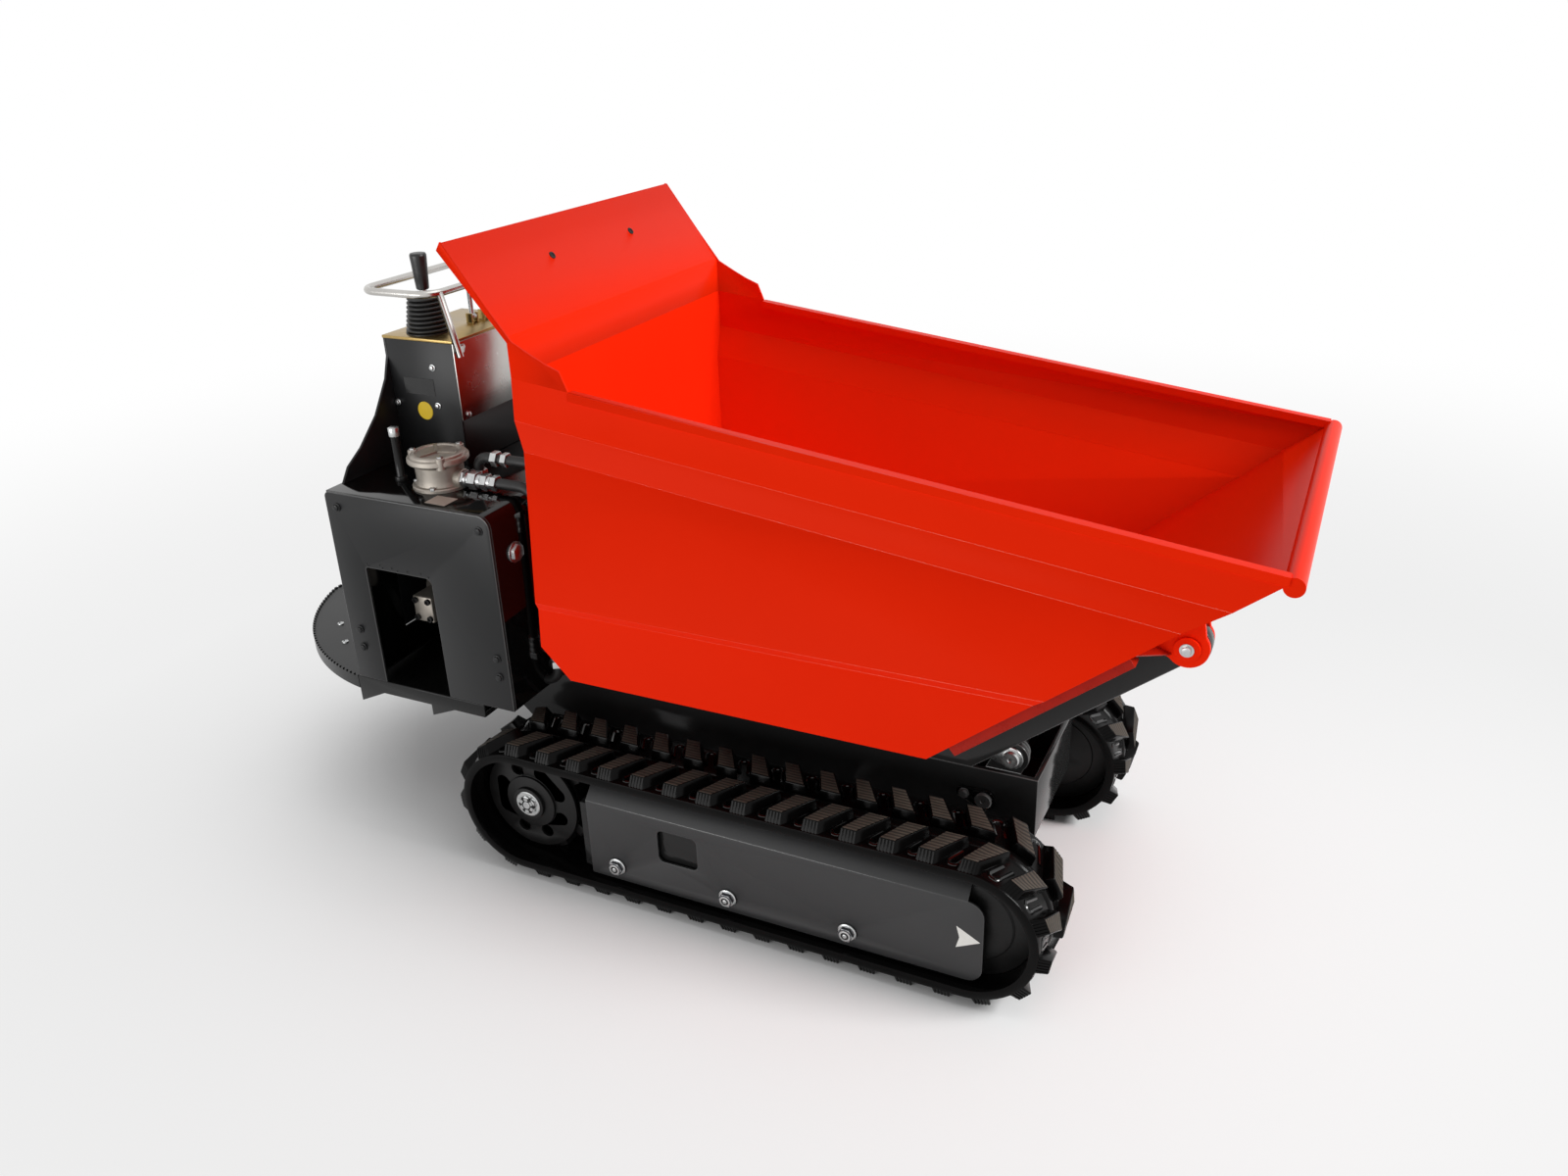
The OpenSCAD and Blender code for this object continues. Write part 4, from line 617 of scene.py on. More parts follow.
for side in ("right", "left"):
    belt = bmesh.new()
    for row in (0, 1):
        for i in range(link_count):
            before = len(belt.verts)
            faces_before = len(belt.faces)
            belt.from_mesh(lug_mesh)
            belt.verts.ensure_lookup_table()
            belt.faces.ensure_lookup_table()
            middle = (i + 0.25 + row / 2) * link_pitch
            d = middle % belt_length
            curved = axle_gap < d < axle_gap + half_turn or d > 2 * axle_gap + half_turn
            for v in belt.verts[before:]:
                out = min(v.co.z, lug_top)
                shrink = pitch_r / (pitch_r + out) if curved else 1.0
                across = -v.co.y if row else v.co.y
                v.co = on_loop(middle + v.co.x * shrink, across, out)
            if row:
                bmesh.ops.reverse_faces(belt, faces=belt.faces[faces_before:])
    belt.from_mesh(carcass_mesh)
    bmesh.ops.translate(belt, verts=belt.verts, vec=(0, -belt_centre_y, 0))
    if side == "left":
        bmesh.ops.scale(belt, vec=(1, -1, 1), verts=belt.verts)
        bmesh.ops.reverse_faces(belt, faces=belt.faces)
    own(to_piece("rubber_track_" + side, belt, tread_rubber, worn_rubber, pocket_rubber), "chassis",
        "track_rubber", "track_belt_" + side)


# Deck and step
# A gloss black deck with folded edges under the rear unit, and a bow-shaped step for the
# operator, whose edge has a row of cut teeth for grip.

# Satin black-grey powder on plate: fine pebble, rubbed shinier in patches
bay_powder = new_finish(
    "satin_black_powder", "#121314", "#19191A", IOR=1.5, Specular_IOR_Level=0.28,
    rough=(0.28, 0.40), grain=0.0022, patch=0.28, relief=0.10)

softened("base_deck", 0.0020, chassis_enamel, "chassis_paint")

step_low, step_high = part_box("step_platform")
step_front = Vector((step_high.x, 0.0))
step_floor_z = step_high.z - 0.003
step_plate_z = step_floor_z - 0.005
step_rim_t = 0.008
step_tooth_depth = 0.005
teeth = 80
step_arcs = ((Vector((-0.796, 0.11331)), 0.470), (Vector((-0.796, -0.11331)), 0.470),
             (Vector((-0.815, 0.0)), 0.430))


def step_edge(inset):
    """Points along the step's bow, from its right end to its left, set in by a distance."""
    points = []
    for i in range(2 * teeth + 1):
        angle = -math.pi / 2 - math.pi * i / (2 * teeth)
        way = Vector((math.cos(angle), math.sin(angle)))
        reaches = []
        for centre, r in step_arcs:
            ahead = (centre - step_front).dot(way)
            aside = (centre - step_front).length_squared - ahead ** 2
            reaches.append(ahead + math.sqrt((r - inset) ** 2 - aside))
        points.append(step_front + way * min(reaches))
    return points


def slab(bm, outline, low, high):
    """A level plate with the given outline between two heights."""
    plate(bm, [(*p, low) for p in outline], (0, 0, high - low))


step = bmesh.new()
rim_out = step_edge(0.0)
rim_in = step_edge(step_rim_t)
slab(step, rim_out, step_plate_z, step_floor_z)
slab(step, rim_out + rim_in[::-1], step_low.z, step_plate_z)
tooth_in = step_edge(step_tooth_depth)
for i in range(0, 2 * teeth, 2):
    slab(step, [rim_out[i], rim_out[i + 1], tooth_in[i + 1], tooth_in[i]], step_floor_z,
         step_high.z)
for y in (-0.120, 0.120):
    block(step, (0.125, 0.020, 0.022), Matrix.Translation((-0.9375, y, 0.352)))
bmesh.ops.recalc_face_normals(step, faces=step.faces)
for x, y in ((-1.090, 0.171), (-1.015, 0.237)):
    for out in (-1, 1):
        turned(step, [(0.0075, 0.0), (0.0070, 0.0022), (0.0045, 0.0030), (0.0035, 0.0014),
                      (0.0, 0.0014)], (x, out * y, step_floor_z), steps=20, material=1)
own(to_piece("step_tread", step, bay_powder, zinc_plate), "chassis", "bay_paint", "step_platform")


# Bay sheets
# Folded and welded plate round the engine and the tank: front, top and rear in one shell, a
# notched plate on the right and a plate with a cooling hole on the left.

# Polished black enamel on the folded shell: it mirrors what stands on it
shell_enamel = new_finish(
    "polished_black_enamel", "#060606", "#0C0C0C", IOR=1.5,
    rough=(0.05, 0.10), grain=0.0030, patch=0.30, relief=0.02)

softened("bay_shell", 0.0016, shell_enamel, "bay_paint", edge=edge_highlight_enamel)
for node in ("bay_right_plate", "bay_left_plate"):
    softened(node, 0.0016, bay_powder, "bay_paint", edge=edge_highlight_enamel)
bolts = softened("fasteners", 0.0007, zinc_plate, "zinc")
split_finish(bolts, bay_powder, lambda c: abs(c.y) > 0.3)
softened("hydraulic_tank", 0.0020, bay_powder, "bay_paint")

# Weld spatter was left along the top of the notch: small bright beads
bead_r = 0.0024
bay_side_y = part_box("bay_right_plate")[0].y + 0.001
weld = bmesh.new()
for x, z in ((-0.791, 0.641), (-0.786, 0.637), (-0.757, 0.643), (-0.751, 0.638), (-0.727, 0.641),
             (-0.713, 0.637), (-0.688, 0.640), (-0.655, 0.641), (-0.637, 0.636)):
    made = bmesh.ops.create_icosphere(weld, subdivisions=2, radius=bead_r)
    bmesh.ops.translate(weld, verts=made["verts"], vec=(x, bay_side_y, z))
own(to_piece("notch_weld", weld, chassis_enamel), "chassis", "bay_paint")


# Rear cover and label
# A black sheet with seven pressed louvres closes the opening behind the engine. A blank paper
# label is stuck to the bay's top.
bay_top_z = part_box("bay_shell")[1].z
louvre_x = -0.8700
louvre_drop = 0.012
cover = bmesh.new()
block(cover, (0.0030, 0.398, 0.203), Matrix.Translation((-0.8670, 0, 0.5225)))
for i in range(7):
    louvre_z = 0.450 + 0.025 * i
    louvre = block(cover, (0.0060, 0.340, 0.004), Matrix.Translation((louvre_x, 0, louvre_z)))
    for v in louvre:
        if v.co.x > louvre_x and v.co.z > louvre_z:
            v.co.z += louvre_drop
bmesh.ops.bevel(cover, geom=list(cover.edges), offset=0.0010, segments=2, profile=0.5,
                affect="EDGES", material=-1)
own(to_piece("rear_louvres", cover, bay_powder), "chassis", "bay_paint")

# Label paper: matt cream, a little soiled
label_paper = new_finish(
    "matt_label_paper", "#A89F92", "#C4BCB0", IOR=1.45,
    rough=(0.55, 0.7), grain=0.0020, patch=0.02, relief=0.05)
label = bmesh.new()
slab(label, [(-0.635, -0.329), (-0.586, -0.331), (-0.586, -0.290), (-0.635, -0.290)],
     bay_top_z + 0.0001, bay_top_z + 0.0005)
bmesh.ops.recalc_face_normals(label, faces=label.faces)
own(to_piece("blank_label", label, label_paper), "chassis", "bay_paint")


# Return filter
# A die-cast aluminium bowl on a flange, with a lid held by three lug bolts.

# Die-cast aluminium, sand-blasted: warm light grey, with an even fine grain
cast_aluminium = new_finish(
    "blasted_cast_aluminium", "#8F8880", "#B4ADA3", Metallic=0.85,
    rough=(0.42, 0.58), grain=0.0016, patch=0.02, relief=0.25)

filter_low, filter_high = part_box("filter_lid")
filter_at = Vector((*((filter_low + filter_high) / 2).xy, bay_top_z))
bowl_h = 0.052
flange_bolts_r = 0.051
lid_bolts_r = 0.0515
lid_lug_h = 0.0190


def arc(centre, r, start, end, plane="XZ", steps=8):
    """Points of a bend, from one angle to another in degrees."""
    points = []
    for i in range(steps + 1):
        angle = math.radians(start + (end - start) * i / steps)
        if plane == "XZ":
            points.append((centre[0] + r * math.cos(angle), centre[1],
                           centre[2] + r * math.sin(angle)))
        else:
            points.append((centre[0] + r * math.cos(angle), centre[1] + r * math.sin(angle),
                           centre[2]))
    return points


bowl = bmesh.new()
turned(bowl, [(0.0, 0.0005), (0.056, 0.0005), (0.056, 0.006), (0.0545, 0.008), (0.0485, 0.009),
              (0.0475, 0.012), (0.0465, 0.022), (0.0470, 0.036), (0.0475, 0.046), (0.0520, 0.050),
              (0.0520, bowl_h), (0.0, bowl_h)], filter_at, steps=48)
turned(bowl, [(0.0, 0.0), (0.0185, 0.0), (0.0185, 0.044), (0.0195, 0.046), (0.0195, 0.058),
              (0.0180, 0.060), (0.0, 0.060)], filter_at + Vector((0, 0, 0.020)), "X", 32)
for spot in arc(filter_at + Vector((0, 0, 0.0065)), flange_bolts_r, 20, 290, "XY", 3):
    hexagon(bowl, 0.0068, 0.0055, spot, material=1)
own(to_piece("filter_bowl", bowl, cast_aluminium, zinc_plate), "chassis", "cast", "return_filter")
lid = bmesh.new()
lid_at = filter_at + Vector((0, 0, bowl_h))
turned(lid, [(0.0, 0.0), (0.058, 0.0), (0.060, 0.0025), (0.060, 0.009), (0.0585, 0.0115),
             (0.0540, 0.0125), (0.0525, 0.0165), (0.0500, 0.0180), (0.0440, 0.0180),
             (0.0420, 0.0155), (0.0, 0.0150)], lid_at, steps=56)
for spot in arc(lid_at, lid_bolts_r, 75, 315, "XY", 2):
    turned(lid, [(0.0095, -0.004), (0.0095, 0.0175), (0.0080, lid_lug_h), (0.0, lid_lug_h)], spot,
           steps=20)
    hexagon(lid, 0.0062, 0.0028, Vector(spot) + Vector((0, 0, lid_lug_h)), material=1)
for angle in (15, 135, 255):
    block(lid, (0.042, 0.007, 0.0040), Matrix.Translation(lid_at + Vector((0, 0, 0.0165)))
          @ Matrix.Rotation(math.radians(angle), 4, "Z") @ Matrix.Translation((0.021, 0, 0)))
own(to_piece("filter_cover", lid, cast_aluminium, zinc_plate), "chassis", "cast", "filter_lid")


# Return hoses
# Two rubber hydraulic hoses with a wire braid inside, crimped to zinc-plated ends. They hang from
# sleeved pipes that leave the filter and the bay's top, and end in elbows in the bay's face.
hose_r = 0.011
hose_drop_x = -0.440
hose_low_z = 0.420
pipe_r = 0.0105
pipe_bend = 0.040
pipe_stub = 0.020
riser_bend = 0.024
bay_face_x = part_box("bay_shell")[1].x
ferrule = [(0.0112, 0.034), (0.0135, 0.032), (0.0135, 0.024), (0.0128, 0.022), (0.0135, 0.020),
           (0.0135, 0.012), (0.0128, 0.010), (0.0135, 0.008), (0.0135, 0.001), (0.0106, 0.0)]
nut_r = 0.0165
nut_h = 0.014

# The low pipe's fittings: nuts as place, radius and height, and collars between them
fitting_nuts = [(-0.617, 0.0185, 0.014), (-0.592, 0.0190, 0.018), (-0.563, 0.0170, 0.014),
                (-0.540, 0.0160, 0.012)]
fitting_collars = [
    (-0.605, [(pipe_r, 0.0), (0.0150, 0.001), (0.0150, 0.006), (0.0128, 0.008), (0.0128, 0.016),
              (pipe_r, 0.017)]),
    (-0.574, [(pipe_r, 0.0), (0.0140, 0.001), (0.0140, 0.009), (pipe_r, 0.010)]),
    (-0.550, [(pipe_r, 0.0), (0.0132, 0.001), (0.0132, 0.008), (pipe_r, 0.009)])]

# Extruded hose rubber: dull black, with the marks of the cloth it was cured in
hose_rubber = new_finish(
    "cloth_cured_hose_rubber", "#0B0B0B", "#171717", IOR=1.5,
    rough=(0.45, 0.62), grain=0.0016, patch=0.030, relief=0.35)


def bent_pipe(name, points, r, finish):
    """A round pipe along a line of points."""
    line = bpy.data.curves.new(name + "_line", "CURVE")
    line.dimensions = "3D"
    line.bevel_depth = r
    line.bevel_resolution = 6
    line.use_fill_caps = True
    spline = line.splines.new("POLY")
    spline.points.add(len(points) - 1)
    for point, where in zip(spline.points, points):
        point.co = (*where, 1.0)
    holder = bpy.data.objects.new(name + "_line", line)
    scene.collection.objects.link(holder)
    bpy.context.view_layer.update()
    mesh = bpy.data.meshes.new_from_object(holder)
    bpy.data.objects.remove(holder)
    mesh.name = name
    bm = bmesh.new()
    bm.from_mesh(mesh)
    bmesh.ops.remove_doubles(bm, verts=bm.verts, dist=1e-6)
    bmesh.ops.recalc_face_normals(bm, faces=bm.faces)
    return to_piece(name, bm, finish)


hose_rows = [("low", -0.236, 0.805, -0.608), ("high", -0.202, 0.841, -0.575)]
for label, y, z, start_x in hose_rows:
    turn_x = hose_drop_x - pipe_bend
    riser_x = start_x - riser_bend
    hose_top = z - pipe_bend - pipe_stub
    hose_foot = hose_low_z + pipe_stub
    top = [(start_x, y, z), (turn_x, y, z)]
    if label == "high":
        top = ([(riser_x, y, bay_top_z), (riser_x, y, z - riser_bend)]
               + arc((start_x, y, z - riser_bend), riser_bend, 180, 90)[1:] + top[1:])
    top += arc((turn_x, y, z - pipe_bend), pipe_bend, 90, 0)[1:]
    top.append((hose_drop_x, y, hose_top))
    foot = [(hose_drop_x, y, hose_foot)]
    foot += arc((bay_face_x, y, hose_low_z), hose_drop_x - bay_face_x, 0, -90)
    pipe = bent_pipe("return_pipe_" + label, top, pipe_r, hose_rubber)
    own(pipe, "chassis", "zinc", "return_hoses")
    elbow = bent_pipe("return_elbow_" + label, foot, pipe_r, hose_rubber)
    own(elbow, "chassis", "zinc", "return_hoses")
    run = [(hose_drop_x, y, hose_top + (hose_foot - hose_top) * i / 16) for i in range(17)]
    hose = bent_pipe("return_hose_" + label, run, hose_r, hose_rubber)
    own(hose, "chassis", "soft_rubber", "return_hoses")
    ends = bmesh.new()
    for end, way in ((hose_top, -1), (hose_foot, 1)):
        turned(ends, [(r, way * h) for r, h in ferrule], (hose_drop_x, y, end), steps=24)
        hexagon(ends, nut_r, nut_h, (hose_drop_x, y, end - (0.0 if way < 0 else nut_h)))
    if label == "low":
        for x, r, h in fitting_nuts:
            hexagon(ends, r, h, (x, y, z), "X")
        for x, profile in fitting_collars:
            turned(ends, profile, (x, y, z), "X", 24)
    else:
        for h in (bay_top_z, bay_top_z + 0.018):
            hexagon(ends, nut_r, 0.012, (riser_x, y, h))
        hexagon(ends, 0.0160, 0.014, (-0.560, y, z), "X")
        hexagon(ends, 0.0150, 0.012, (-0.536, y, z), "X")
    own(to_piece("return_ends_" + label, ends, zinc_plate), "chassis", "zinc", "return_hoses")


# Filler tube and sight plug
# A black steel tube with a zinc cap on the tank, and a hexagon sight plug in the bay's face.
filler_cap_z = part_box("filler_tube")[1].z - 0.0185
filler = softened("filler_tube", 0.0012, chassis_enamel, "chassis_paint")
split_finish(filler, zinc_plate, lambda c: c.z > filler_cap_z)
softened("sight_plug", 0.0008, zinc_plate, "zinc")


# Pump, engine, fuel tank and muffler
# A small petrol engine stands on the deck rails with the gear pump on its shaft. Its fan cover
# and starter face the cooling hole, the tank sits on top and the muffler in front.
pump_low, pump_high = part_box("gear_pump")
shaft_x = (pump_low.x + pump_high.x) / 2
shaft_z = (pump_low.z + pump_high.z) / 2
softened("gear_pump", 0.0030, cast_aluminium, "engine_metal")
bolts = bmesh.new()
for dx, dz in ((-0.016, -0.020), (0.016, -0.020), (-0.016, 0.019), (0.016, 0.019)):
    turned(bolts, [(0.0065, 0.0), (0.0065, 0.0050), (0.0058, 0.0058), (0.0034, 0.0058),
                   (0.0030, 0.0030), (0.0, 0.0030)], (shaft_x + dx, pump_low.y, shaft_z + dz), "-Y",
           20)
own(to_piece("pump_bolts", bolts, chassis_enamel), "chassis", "engine_metal")

# Die-cast engine metal with a thin black heat paint
engine_paint = new_finish(
    "black_engine_paint", "#101010", "#191919", IOR=1.5,
    rough=(0.40, 0.55), grain=0.0030, patch=0.05, relief=0.2)
softened("engine_block", 0.0020, engine_paint, "engine_metal")
fin_size = (0.216, 0.186, 0.004)
fin_gap = 0.020
fins = bmesh.new()
for i in range(9):
    block(fins, fin_size, Matrix.Translation((-0.740, 0.065, 0.430 + fin_gap * i)))
own(to_piece("engine_fins", fins, engine_paint), "chassis", "engine_metal")

# Moulded black plastic: even, slightly glossy, fine spark-eroded grain
black_plastic = new_finish(
    "moulded_black_plastic", "#0F0F10", "#171718", IOR=1.49,
    rough=(0.28, 0.40), grain=0.0014, patch=0.04, relief=0.08)
softened("fuel_tank", 0.0120, black_plastic, "black_plastic", segments=4)
fan = bmesh.new()
fan_at = Vector((shaft_x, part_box("engine_block")[1].y, shaft_z))
turned(fan, [(0.096, -0.020), (0.098, 0.0), (0.094, 0.006), (0.070, 0.010), (0.066, 0.007),
             (0.030, 0.007), (0.026, 0.012), (0.0, 0.013)], fan_at, "Y", 48)
blades = 16
blade_pitch = 0.5
for i in range(blades):
    block(fan, (0.034, 0.005, 0.006), Matrix.Translation(fan_at + Vector((0, 0.0075, 0)))
          @ Matrix.Rotation(math.tau * i / blades, 4, "Y") @ Matrix.Translation((0.048, 0, 0))
          @ Matrix.Rotation(blade_pitch, 4, "Y"))
own(to_piece("starter_cover", fan, black_plastic), "chassis", "black_plastic")

# Muffler steel: dull, blued and browned by heat
heat_steel = new_finish(
    "heat_tinted_steel", "#4B4640", "#7C7770", Metallic=0.9,
    rough=(0.38, 0.6), grain=0.0030, patch=0.04, relief=0.15)
softened("muffler", 0.0060, heat_steel, "engine_metal", segments=3)


# Pedestal plate and console
# A bell-shaped plate behind a folded steel console, in satin black. Its lid is passivated gold
# and its front is a bare stainless sheet.
softened("pedestal_plate", 0.0012, bay_powder, "bay_paint")
softened("console_shell", 0.0012, bay_powder, "bay_paint")

# Yellow passivated zinc: a dull gold with green and pink clouds
gold_passivate = new_finish(
    "yellow_passivated_zinc", "#8D7440", "#BBA06A", Metallic=1.0,
    rough=(0.24, 0.38), grain=0.0025, patch=0.05, relief=0.06)
softened("console_top", 0.0010, gold_passivate, "top_metal")

# Brushed stainless steel: bright, with fine lines along the grain
stainless = new_finish(
    "brushed_stainless", "#B2AFAB", "#CFCDC9", Metallic=1.0,
    rough=(0.20, 0.30), grain=0.0020, patch=0.06, relief=0.03)
line_width = 0.002
line_length = 1 / 12
tree = stainless.node_tree
stretch = add_node(tree, "ShaderNodeMapping", {
    "Vector": tree.nodes["coords"].outputs["Object"],
    "Scale": (1 / line_width, 1 / line_length, 1 / line_width)})
grain = add_node(tree, "ShaderNodeTexNoise", {"Vector": stretch.outputs[0], "Scale": 1.0})
brush = add_node(tree, "ShaderNodeBump", {
    "Height": grain.outputs["Fac"], "Strength": 0.10, "Distance": 0.0006})
tree.links.new(brush.outputs["Normal"], tree.nodes["Principled BSDF"].inputs["Normal"])
softened("console_front", 0.0008, stainless, "stainless")
softened("grab_handle", 0.0, stainless, "stainless", crease=50, low=60)

# A blank black label and a plain yellow disc on the console's side: thin glossy vinyl
label_black = new_finish(
    "blank_black_label", "#070707", "#0C0C0C", IOR=1.5,
    rough=(0.14, 0.22), grain=0.0020, patch=0.03, relief=0.03)
disc_yellow = new_finish(
    "yellow_vinyl_disc", "#D9B400", "#EBC916", IOR=1.5,
    rough=(0.30, 0.40), grain=0.0020, patch=0.02, relief=0.03)
console_side_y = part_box("console_shell")[0].y
label = bmesh.new()
block(label, (0.076, 0.0008, 0.034), Matrix.Translation((-0.787, console_side_y - 0.0004, 0.943)))
own(to_piece("blank_plate", label, label_black), "chassis", "bay_paint")
disc = bmesh.new()
turned(disc, [(0.0, 0.0007), (0.0185, 0.0007), (0.019, 0.0)], (-0.7816, console_side_y, 0.8924),
       "-Y", 40)
own(to_piece("plain_disc", disc, disc_yellow), "chassis", "bay_paint")

# Bolts through the front sheet, beside the handle's feet and at its lower corners
front_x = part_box("console_front")[1].x
bolts = bmesh.new()
for y, z in ((0.098, 1.026), (0.107, 0.8895)):
    for out in (-1, 1):
        hexagon(bolts, 0.0060, 0.0040, (front_x, out * y, z), "X")
own(to_piece("front_sheet_bolts", bolts, zinc_plate), "chassis", "zinc")


# Drive lever
# A plated shaft in a two-axis gimbal, under a ribbed rubber boot, with a tapered plastic grip.
lever_at = Vector((*joint_at["drive_lever_fore"].xy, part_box("lever_bellows")[0].z))

# Moulded boot rubber: black, soft sheen, dusty in patches
boot_rubber = new_finish(
    "moulded_boot_rubber", "#0C0C0C", "#161615", IOR=1.5,
    rough=(0.36, 0.52), grain=0.0018, patch=0.02, relief=0.10)
ribs_up = 8
rib_pitch = 0.0088
rib_points = 6
boot_foot_h = 0.0025
boot_r = 0.0445
boot_taper = 0.011
profile = [(0.0455, 0.0), (0.0455, boot_foot_h)]
for i in range(ribs_up):
    r = boot_r - boot_taper * i / ribs_up
    z = boot_foot_h + rib_pitch * i
    profile += [(r - 0.0050, z + 0.0006), (r - 0.0015, z + 0.0022), (r, z + 0.0036),
                (r, z + 0.0058), (r - 0.0015, z + 0.0072), (r - 0.0050, z + 0.0084)]
profile += [(0.0280, 0.0735), (0.0200, 0.0742), (0.0120, 0.0748), (0.0080, 0.0750)]

# The boot in two turned pieces: its lower ribs and its upper ribs
mid = 2 + rib_points * (ribs_up // 2)
for name, part, below, above, low, high in (
        ("lever_boot", profile[:mid], "chassis", "lever_gimbal", 0.004, 0.035),
        ("lever_boot_top", profile[mid - 1:], "lever_gimbal", "drive_lever", 0.038, 0.072)):
    boot = bmesh.new()
    turned(boot, part, lever_at, steps=48)
    boot_piece = to_piece(name, boot, boot_rubber, crease=60)
    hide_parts("lever_bellows")
    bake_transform(boot_piece)
softened("lever_gimbal", 0.0006, zinc_plate, "zinc")
softened("drive_lever", 0.0006, zinc_plate, "zinc")
grip = bmesh.new()
turned(grip, [(0.0072, 0.0855), (0.0110, 0.0850), (0.0128, 0.0870), (0.0134, 0.0950),
              (0.0146, 0.1150), (0.0160, 0.1380), (0.0168, 0.1490), (0.0166, 0.1530),
              (0.0150, 0.1560), (0.0110, 0.1568), (0.0, 0.1570)], lever_at, steps=40)
own(to_piece("grip_moulding", grip, black_plastic), "drive_lever", "black_plastic", "lever_grip")


# Spool levers
# Two short plated levers with round plastic knobs, each on a pin between two cheeks.
knob_foot_z = 1.110
for node in ("lift_lever", "tip_lever"):
    knob = softened(node, 0.0006, zinc_plate, "zinc", crease=50, low=60)
    split_finish(knob, black_plastic, lambda c: c.z > knob_foot_z)


# Lift linkage
# Plate links between chassis and carrier, on greased steel pins. The upper pins' keepers are
# plated, and the lower keepers were painted over with the frame.
for node in ("upper_link", "lower_link"):
    softened(node, 0.0015, chassis_enamel, "chassis_paint", edge=edge_highlight_enamel)
pins = softened("link_pins", 0.0014, zinc_plate, "zinc")
split_finish(pins, shell_enamel, lambda c: c.z < 0.31 and c.x > 0.3)
# The lower keepers' caps and bolts take the lighter grey edge enamel: a painted highlight on the
# black-painted steel
keys = bmesh.new()
for finish_index, pin, bolt, y in ((0, joint_at["lift"], (0.425, 0.3705), 0.126),
                                   (1, joint_at["lower_link_swing"], (0.387, 0.2735), 0.136)):
    for out in (-1, 1):
        turned(keys, [(0.0165, 0.0), (0.0165, 0.0040), (0.0145, 0.0060), (0.0050, 0.0060),
                      (0.0038, 0.0046), (0.0, 0.0046)], (pin.x, out * y, pin.z), outward[out],
               32, finish_index)
        turned(keys, [(0.0105, 0.0), (0.0105, 0.0014), (0.0098, 0.0018), (0.0, 0.0018)],
               (bolt[0], out * y, bolt[1]), outward[out], 24, finish_index)
        hexagon(keys, 0.0085, 0.0060, (bolt[0], out * (y + 0.0016), bolt[1]), outward[out],
                finish_index)
own(to_piece("keeper_bolts", keys, zinc_plate, edge_highlight_enamel), "chassis", "zinc")


# Lift and tip rams
# Black painted barrels with a threaded gland, and hard-chromed rods with welded eyes.

# Hard chrome: mirror bright with very fine grinding marks
hard_chrome = new_finish(
    "hard_chrome", "#C8C9CA", "#DADBDC", Metallic=1.0,
    rough=(0.06, 0.12), grain=0.0015, patch=0.05, relief=0.02)
for ram in ("lift", "tip"):
    softened(ram + "_barrel", 0.0015, chassis_enamel, "chassis_paint")
    softened(ram + "_rod", 0.0010, hard_chrome, "chrome_rod")


# Carrier
# Two bent box arms with cross plates, which the links lift level, with rubber pads for the skip.
softened("carrier_frame", 0.0020, chassis_enamel, "chassis_paint", edge=edge_highlight_enamel)
joint_pins = softened("carrier_pins", 0.0012, zinc_plate, "zinc")
softened("rest_pads", 0.0030, boot_rubber, "soft_rubber", segments=3)


# Skip
# Folded and welded 4 mm sheet with a rim bar, a rolled lip and a bolted-on spill guard, sprayed
# in a bright orange-red. Sheet folds are round, and cut edges are only just broken.

# Gloss orange-red enamel: saturated, with a soft orange peel and a little dust in patches
skip_enamel = new_finish(
    "gloss_orange_red_enamel", "#E32306", "#EB2808", IOR=1.48, Specular_IOR_Level=0.045,
    Specular_Tint=(1.0, 0.45, 0.25, 1.0), rough=(0.27, 0.31), grain=0.0040, patch=0.35,
    relief=0.04)

# The same enamel painted paler and glossier on the first and last strips of each fold: painted
# highlight lines where the bend begins and ends
fold_highlight_enamel = new_finish(
    "painted_fold_highlight", "#EA3C1C", "#EE4A2A", IOR=1.48,
    rough=(0.16, 0.24), grain=0.0040, patch=0.10, relief=0.04)
tree = fold_highlight_enamel.node_tree
# The painted highlight turns paler toward the front of the skip
along = add_node(tree, "ShaderNodeSeparateXYZ", {0: tree.nodes["coords"].outputs["Object"]})
ahead = add_node(tree, "ShaderNodeMapRange", {
    "Value": along.outputs["X"], "From Min": -0.2, "From Max": 0.4})
highlight_toward_front = add_node(tree, "ShaderNodeMix", {
    0: ahead.outputs["Result"], 6: tree.nodes["tone"].outputs[2], 7: linear("#FFA48C")},
    data_type="RGBA")
tree.links.new(highlight_toward_front.outputs[2], tree.nodes["Principled BSDF"].inputs["Base Color"])

wall_y = 0.3
shortest_fold = 0.020


def starts_fold(face, bent):
    """Whether a face is the first or last strip of a fold, on the outside of a side wall."""
    middle = face.calc_center_median()
    if abs(middle.y) < wall_y or face.normal.y * middle.y < 0.1:
        return False
    longest = max(e.calc_length() for e in face.edges)
    rims = [e for e in face.edges if e.calc_length() > 0.8 * longest]
    return any(f not in bent for e in rims for f in e.link_faces)


def folded(node, fold, edge, finish, slot):
    """A copy of a sheet node with round folds and broken edges, where the node is."""
    bm = merged_copy(node)
    # The first and last strips of the side walls' folds take the painted fold highlight as material 1
    for kind, low, high, size, parts in (("fold", 14, 52, fold, 4), ("edge", 60, 180, edge, 2)):
        made = bmesh.ops.bevel(bm, geom=turning_edges(bm, low, high, shortest_fold), offset=size,
                               offset_type="OFFSET", segments=parts, profile=0.5,
                               affect="EDGES", material=-1, clamp_overlap=True)
        bent = set(made["faces"])
        for face in bent:
            face.material_index = 1 if kind == "fold" and starts_fold(face, bent) else 0
    piece = to_piece(node + "_made", bm, finish, fold_highlight_enamel, crease=25)
    return own(piece, frame["nodes"][node]["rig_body"], slot, node)


for node in ("skip_shell", "spill_guard"):
    folded(node, 0.0060, 0.0012, skip_enamel, "skip_paint")
softened("pivot_ears", 0.0015, skip_enamel, "skip_paint")

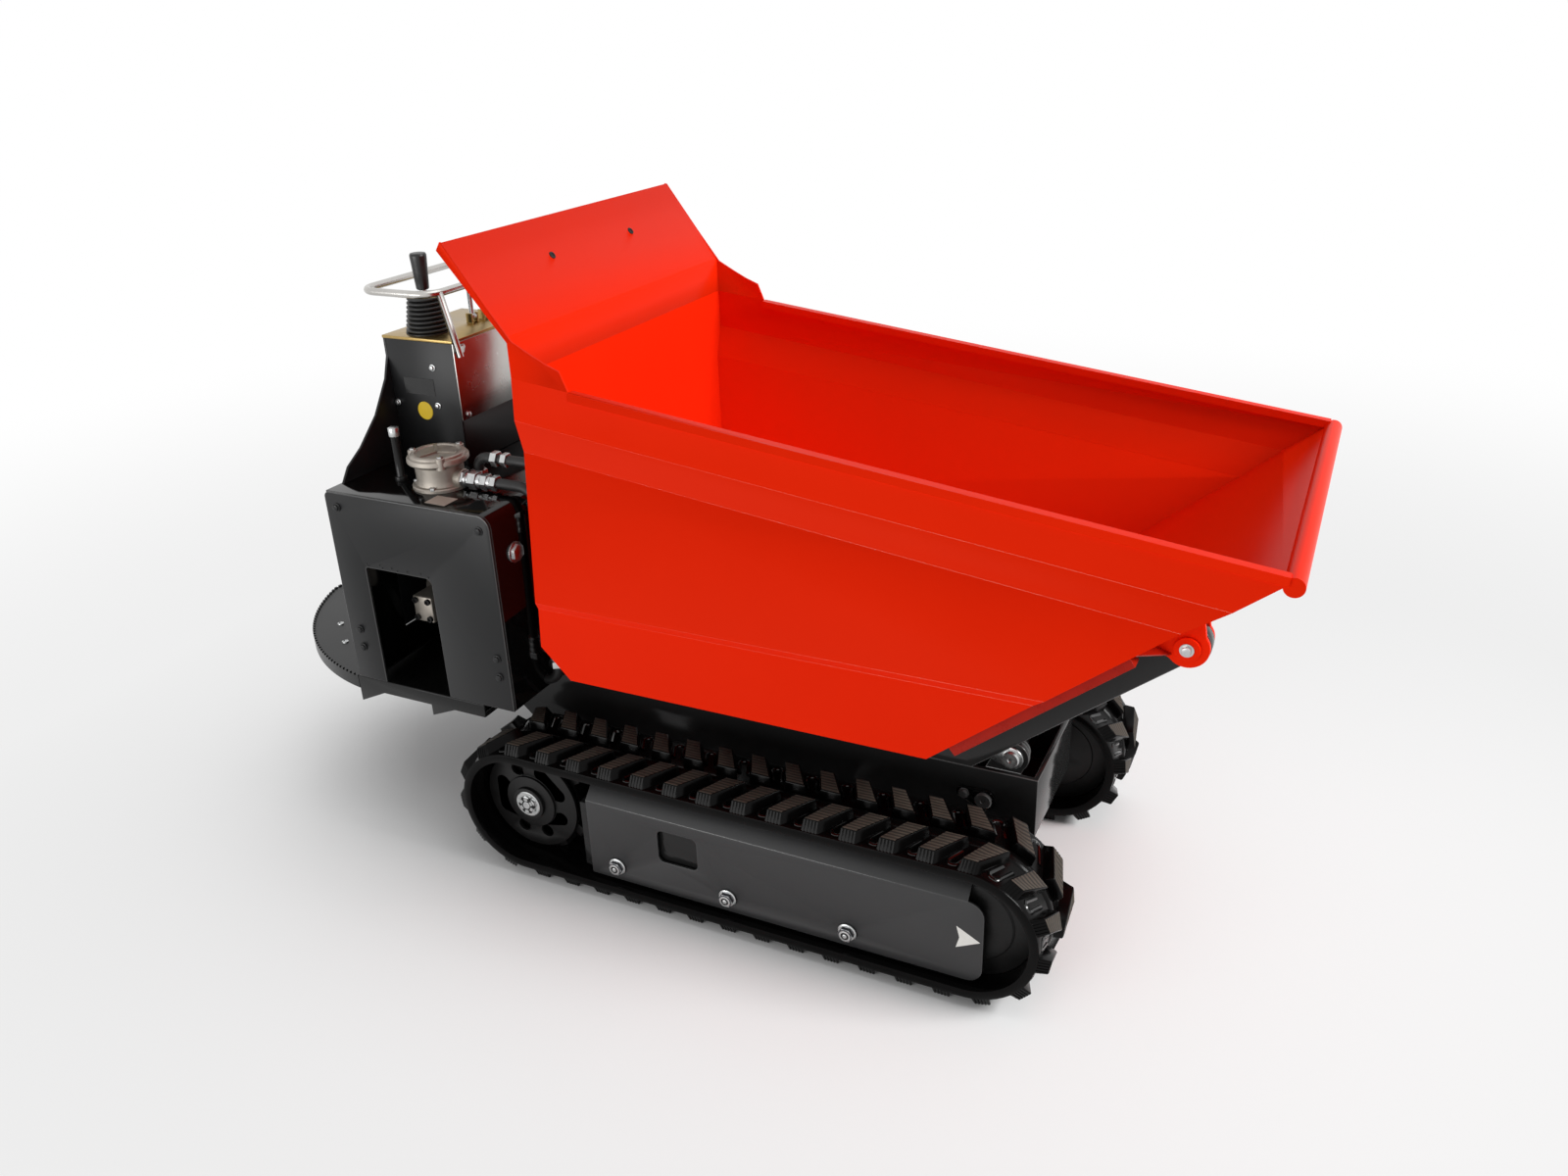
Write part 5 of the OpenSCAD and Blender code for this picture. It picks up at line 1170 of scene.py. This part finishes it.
# The tip pins were sprayed with the skip, and a plated bolt holds each one
split_finish(joint_pins, skip_enamel, lambda c: c.x > 0.7)
bolts = bmesh.new()
tip = joint_at["skip_tip"]
pin_end_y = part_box("carrier_pins")[1].y
washer_t = 0.0016
for out in (-1, 1):
    turned(bolts, [(0.0110, 0.0), (0.0110, washer_t), (0.0, washer_t)],
           (tip.x, out * pin_end_y, tip.z), outward[out], 28)
    hexagon(bolts, 0.0078, 0.0055, (tip.x, out * (pin_end_y + washer_t), tip.z), outward[out])
own(to_piece("tip_pin_bolts", bolts, zinc_plate), "carrier", "zinc")

# Flat bars under the slope's edges, and a gusset against each outer ear
slope_foot = Vector((0.382, 0.0, 0.470))
slope_u = Vector((0.513, 0.0, 0.417)).normalized()
slope_n = Vector((slope_u.z, 0.0, -slope_u.x))
bar_t = 0.022
gusset_t = 0.006
seam = 0.0002
bar_corners = [(0.055, 0.300), (0.040, 0.312), (0.040, 0.330), (0.398, 0.330), (0.398, 0.300)]
gusset_corners = [(0.404, seam, 0.340), (0.404, seam, 0.277), (0.430, 0.046, 0.277)]
stays = bmesh.new()
for out in (-1, 1):
    plate(stays, [slope_foot + slope_u * a + slope_n * seam + Vector((0, out * y, 0))
                  for a, y in bar_corners], slope_n * bar_t)
    plate(stays, [slope_foot + slope_u * a + slope_n * b + Vector((0, out * y, 0))
                  for a, b, y in gusset_corners], slope_u * gusset_t)
bmesh.ops.recalc_face_normals(stays, faces=stays.faces)
bmesh.ops.bevel(stays, geom=list(stays.edges), offset=0.0010, segments=2, profile=0.5,
                affect="EDGES", material=-1)

# A deeper red painted on the bars and gussets under the slope: painted shade, as they sit in the
# shadow of the side walls
shaded_red_enamel = new_finish(
    "painted_shade_red", "#8E1608", "#AE1E0B", Specular_IOR_Level=0.12,
    rough=(0.24, 0.34), grain=0.0040, patch=0.05, relief=0.06)
own(to_piece("slope_stays", stays, shaded_red_enamel), "skip", "skip_paint")

# Two dark screws in the guard
screws = bmesh.new()
guard_n = Vector((0.152, 0.0, 0.113)).normalized()
guard_turn = guard_n.to_track_quat("Z", "Y").to_matrix().to_4x4()
for y in (-0.128, 0.142):
    verts = turned(screws, [(0.0075, 0.0), (0.0068, 0.0022), (0.0040, 0.0032), (0.0030, 0.0018),
                            (0.0, 0.0018)], (0, 0, 0), steps=20)
    seat = Vector((-0.4245, y, 1.2220))
    bmesh.ops.transform(screws, verts=verts, matrix=Matrix.Translation(seat) @ guard_turn)
own(to_piece("guard_screws", screws, painted_casting), "skip", "zinc")
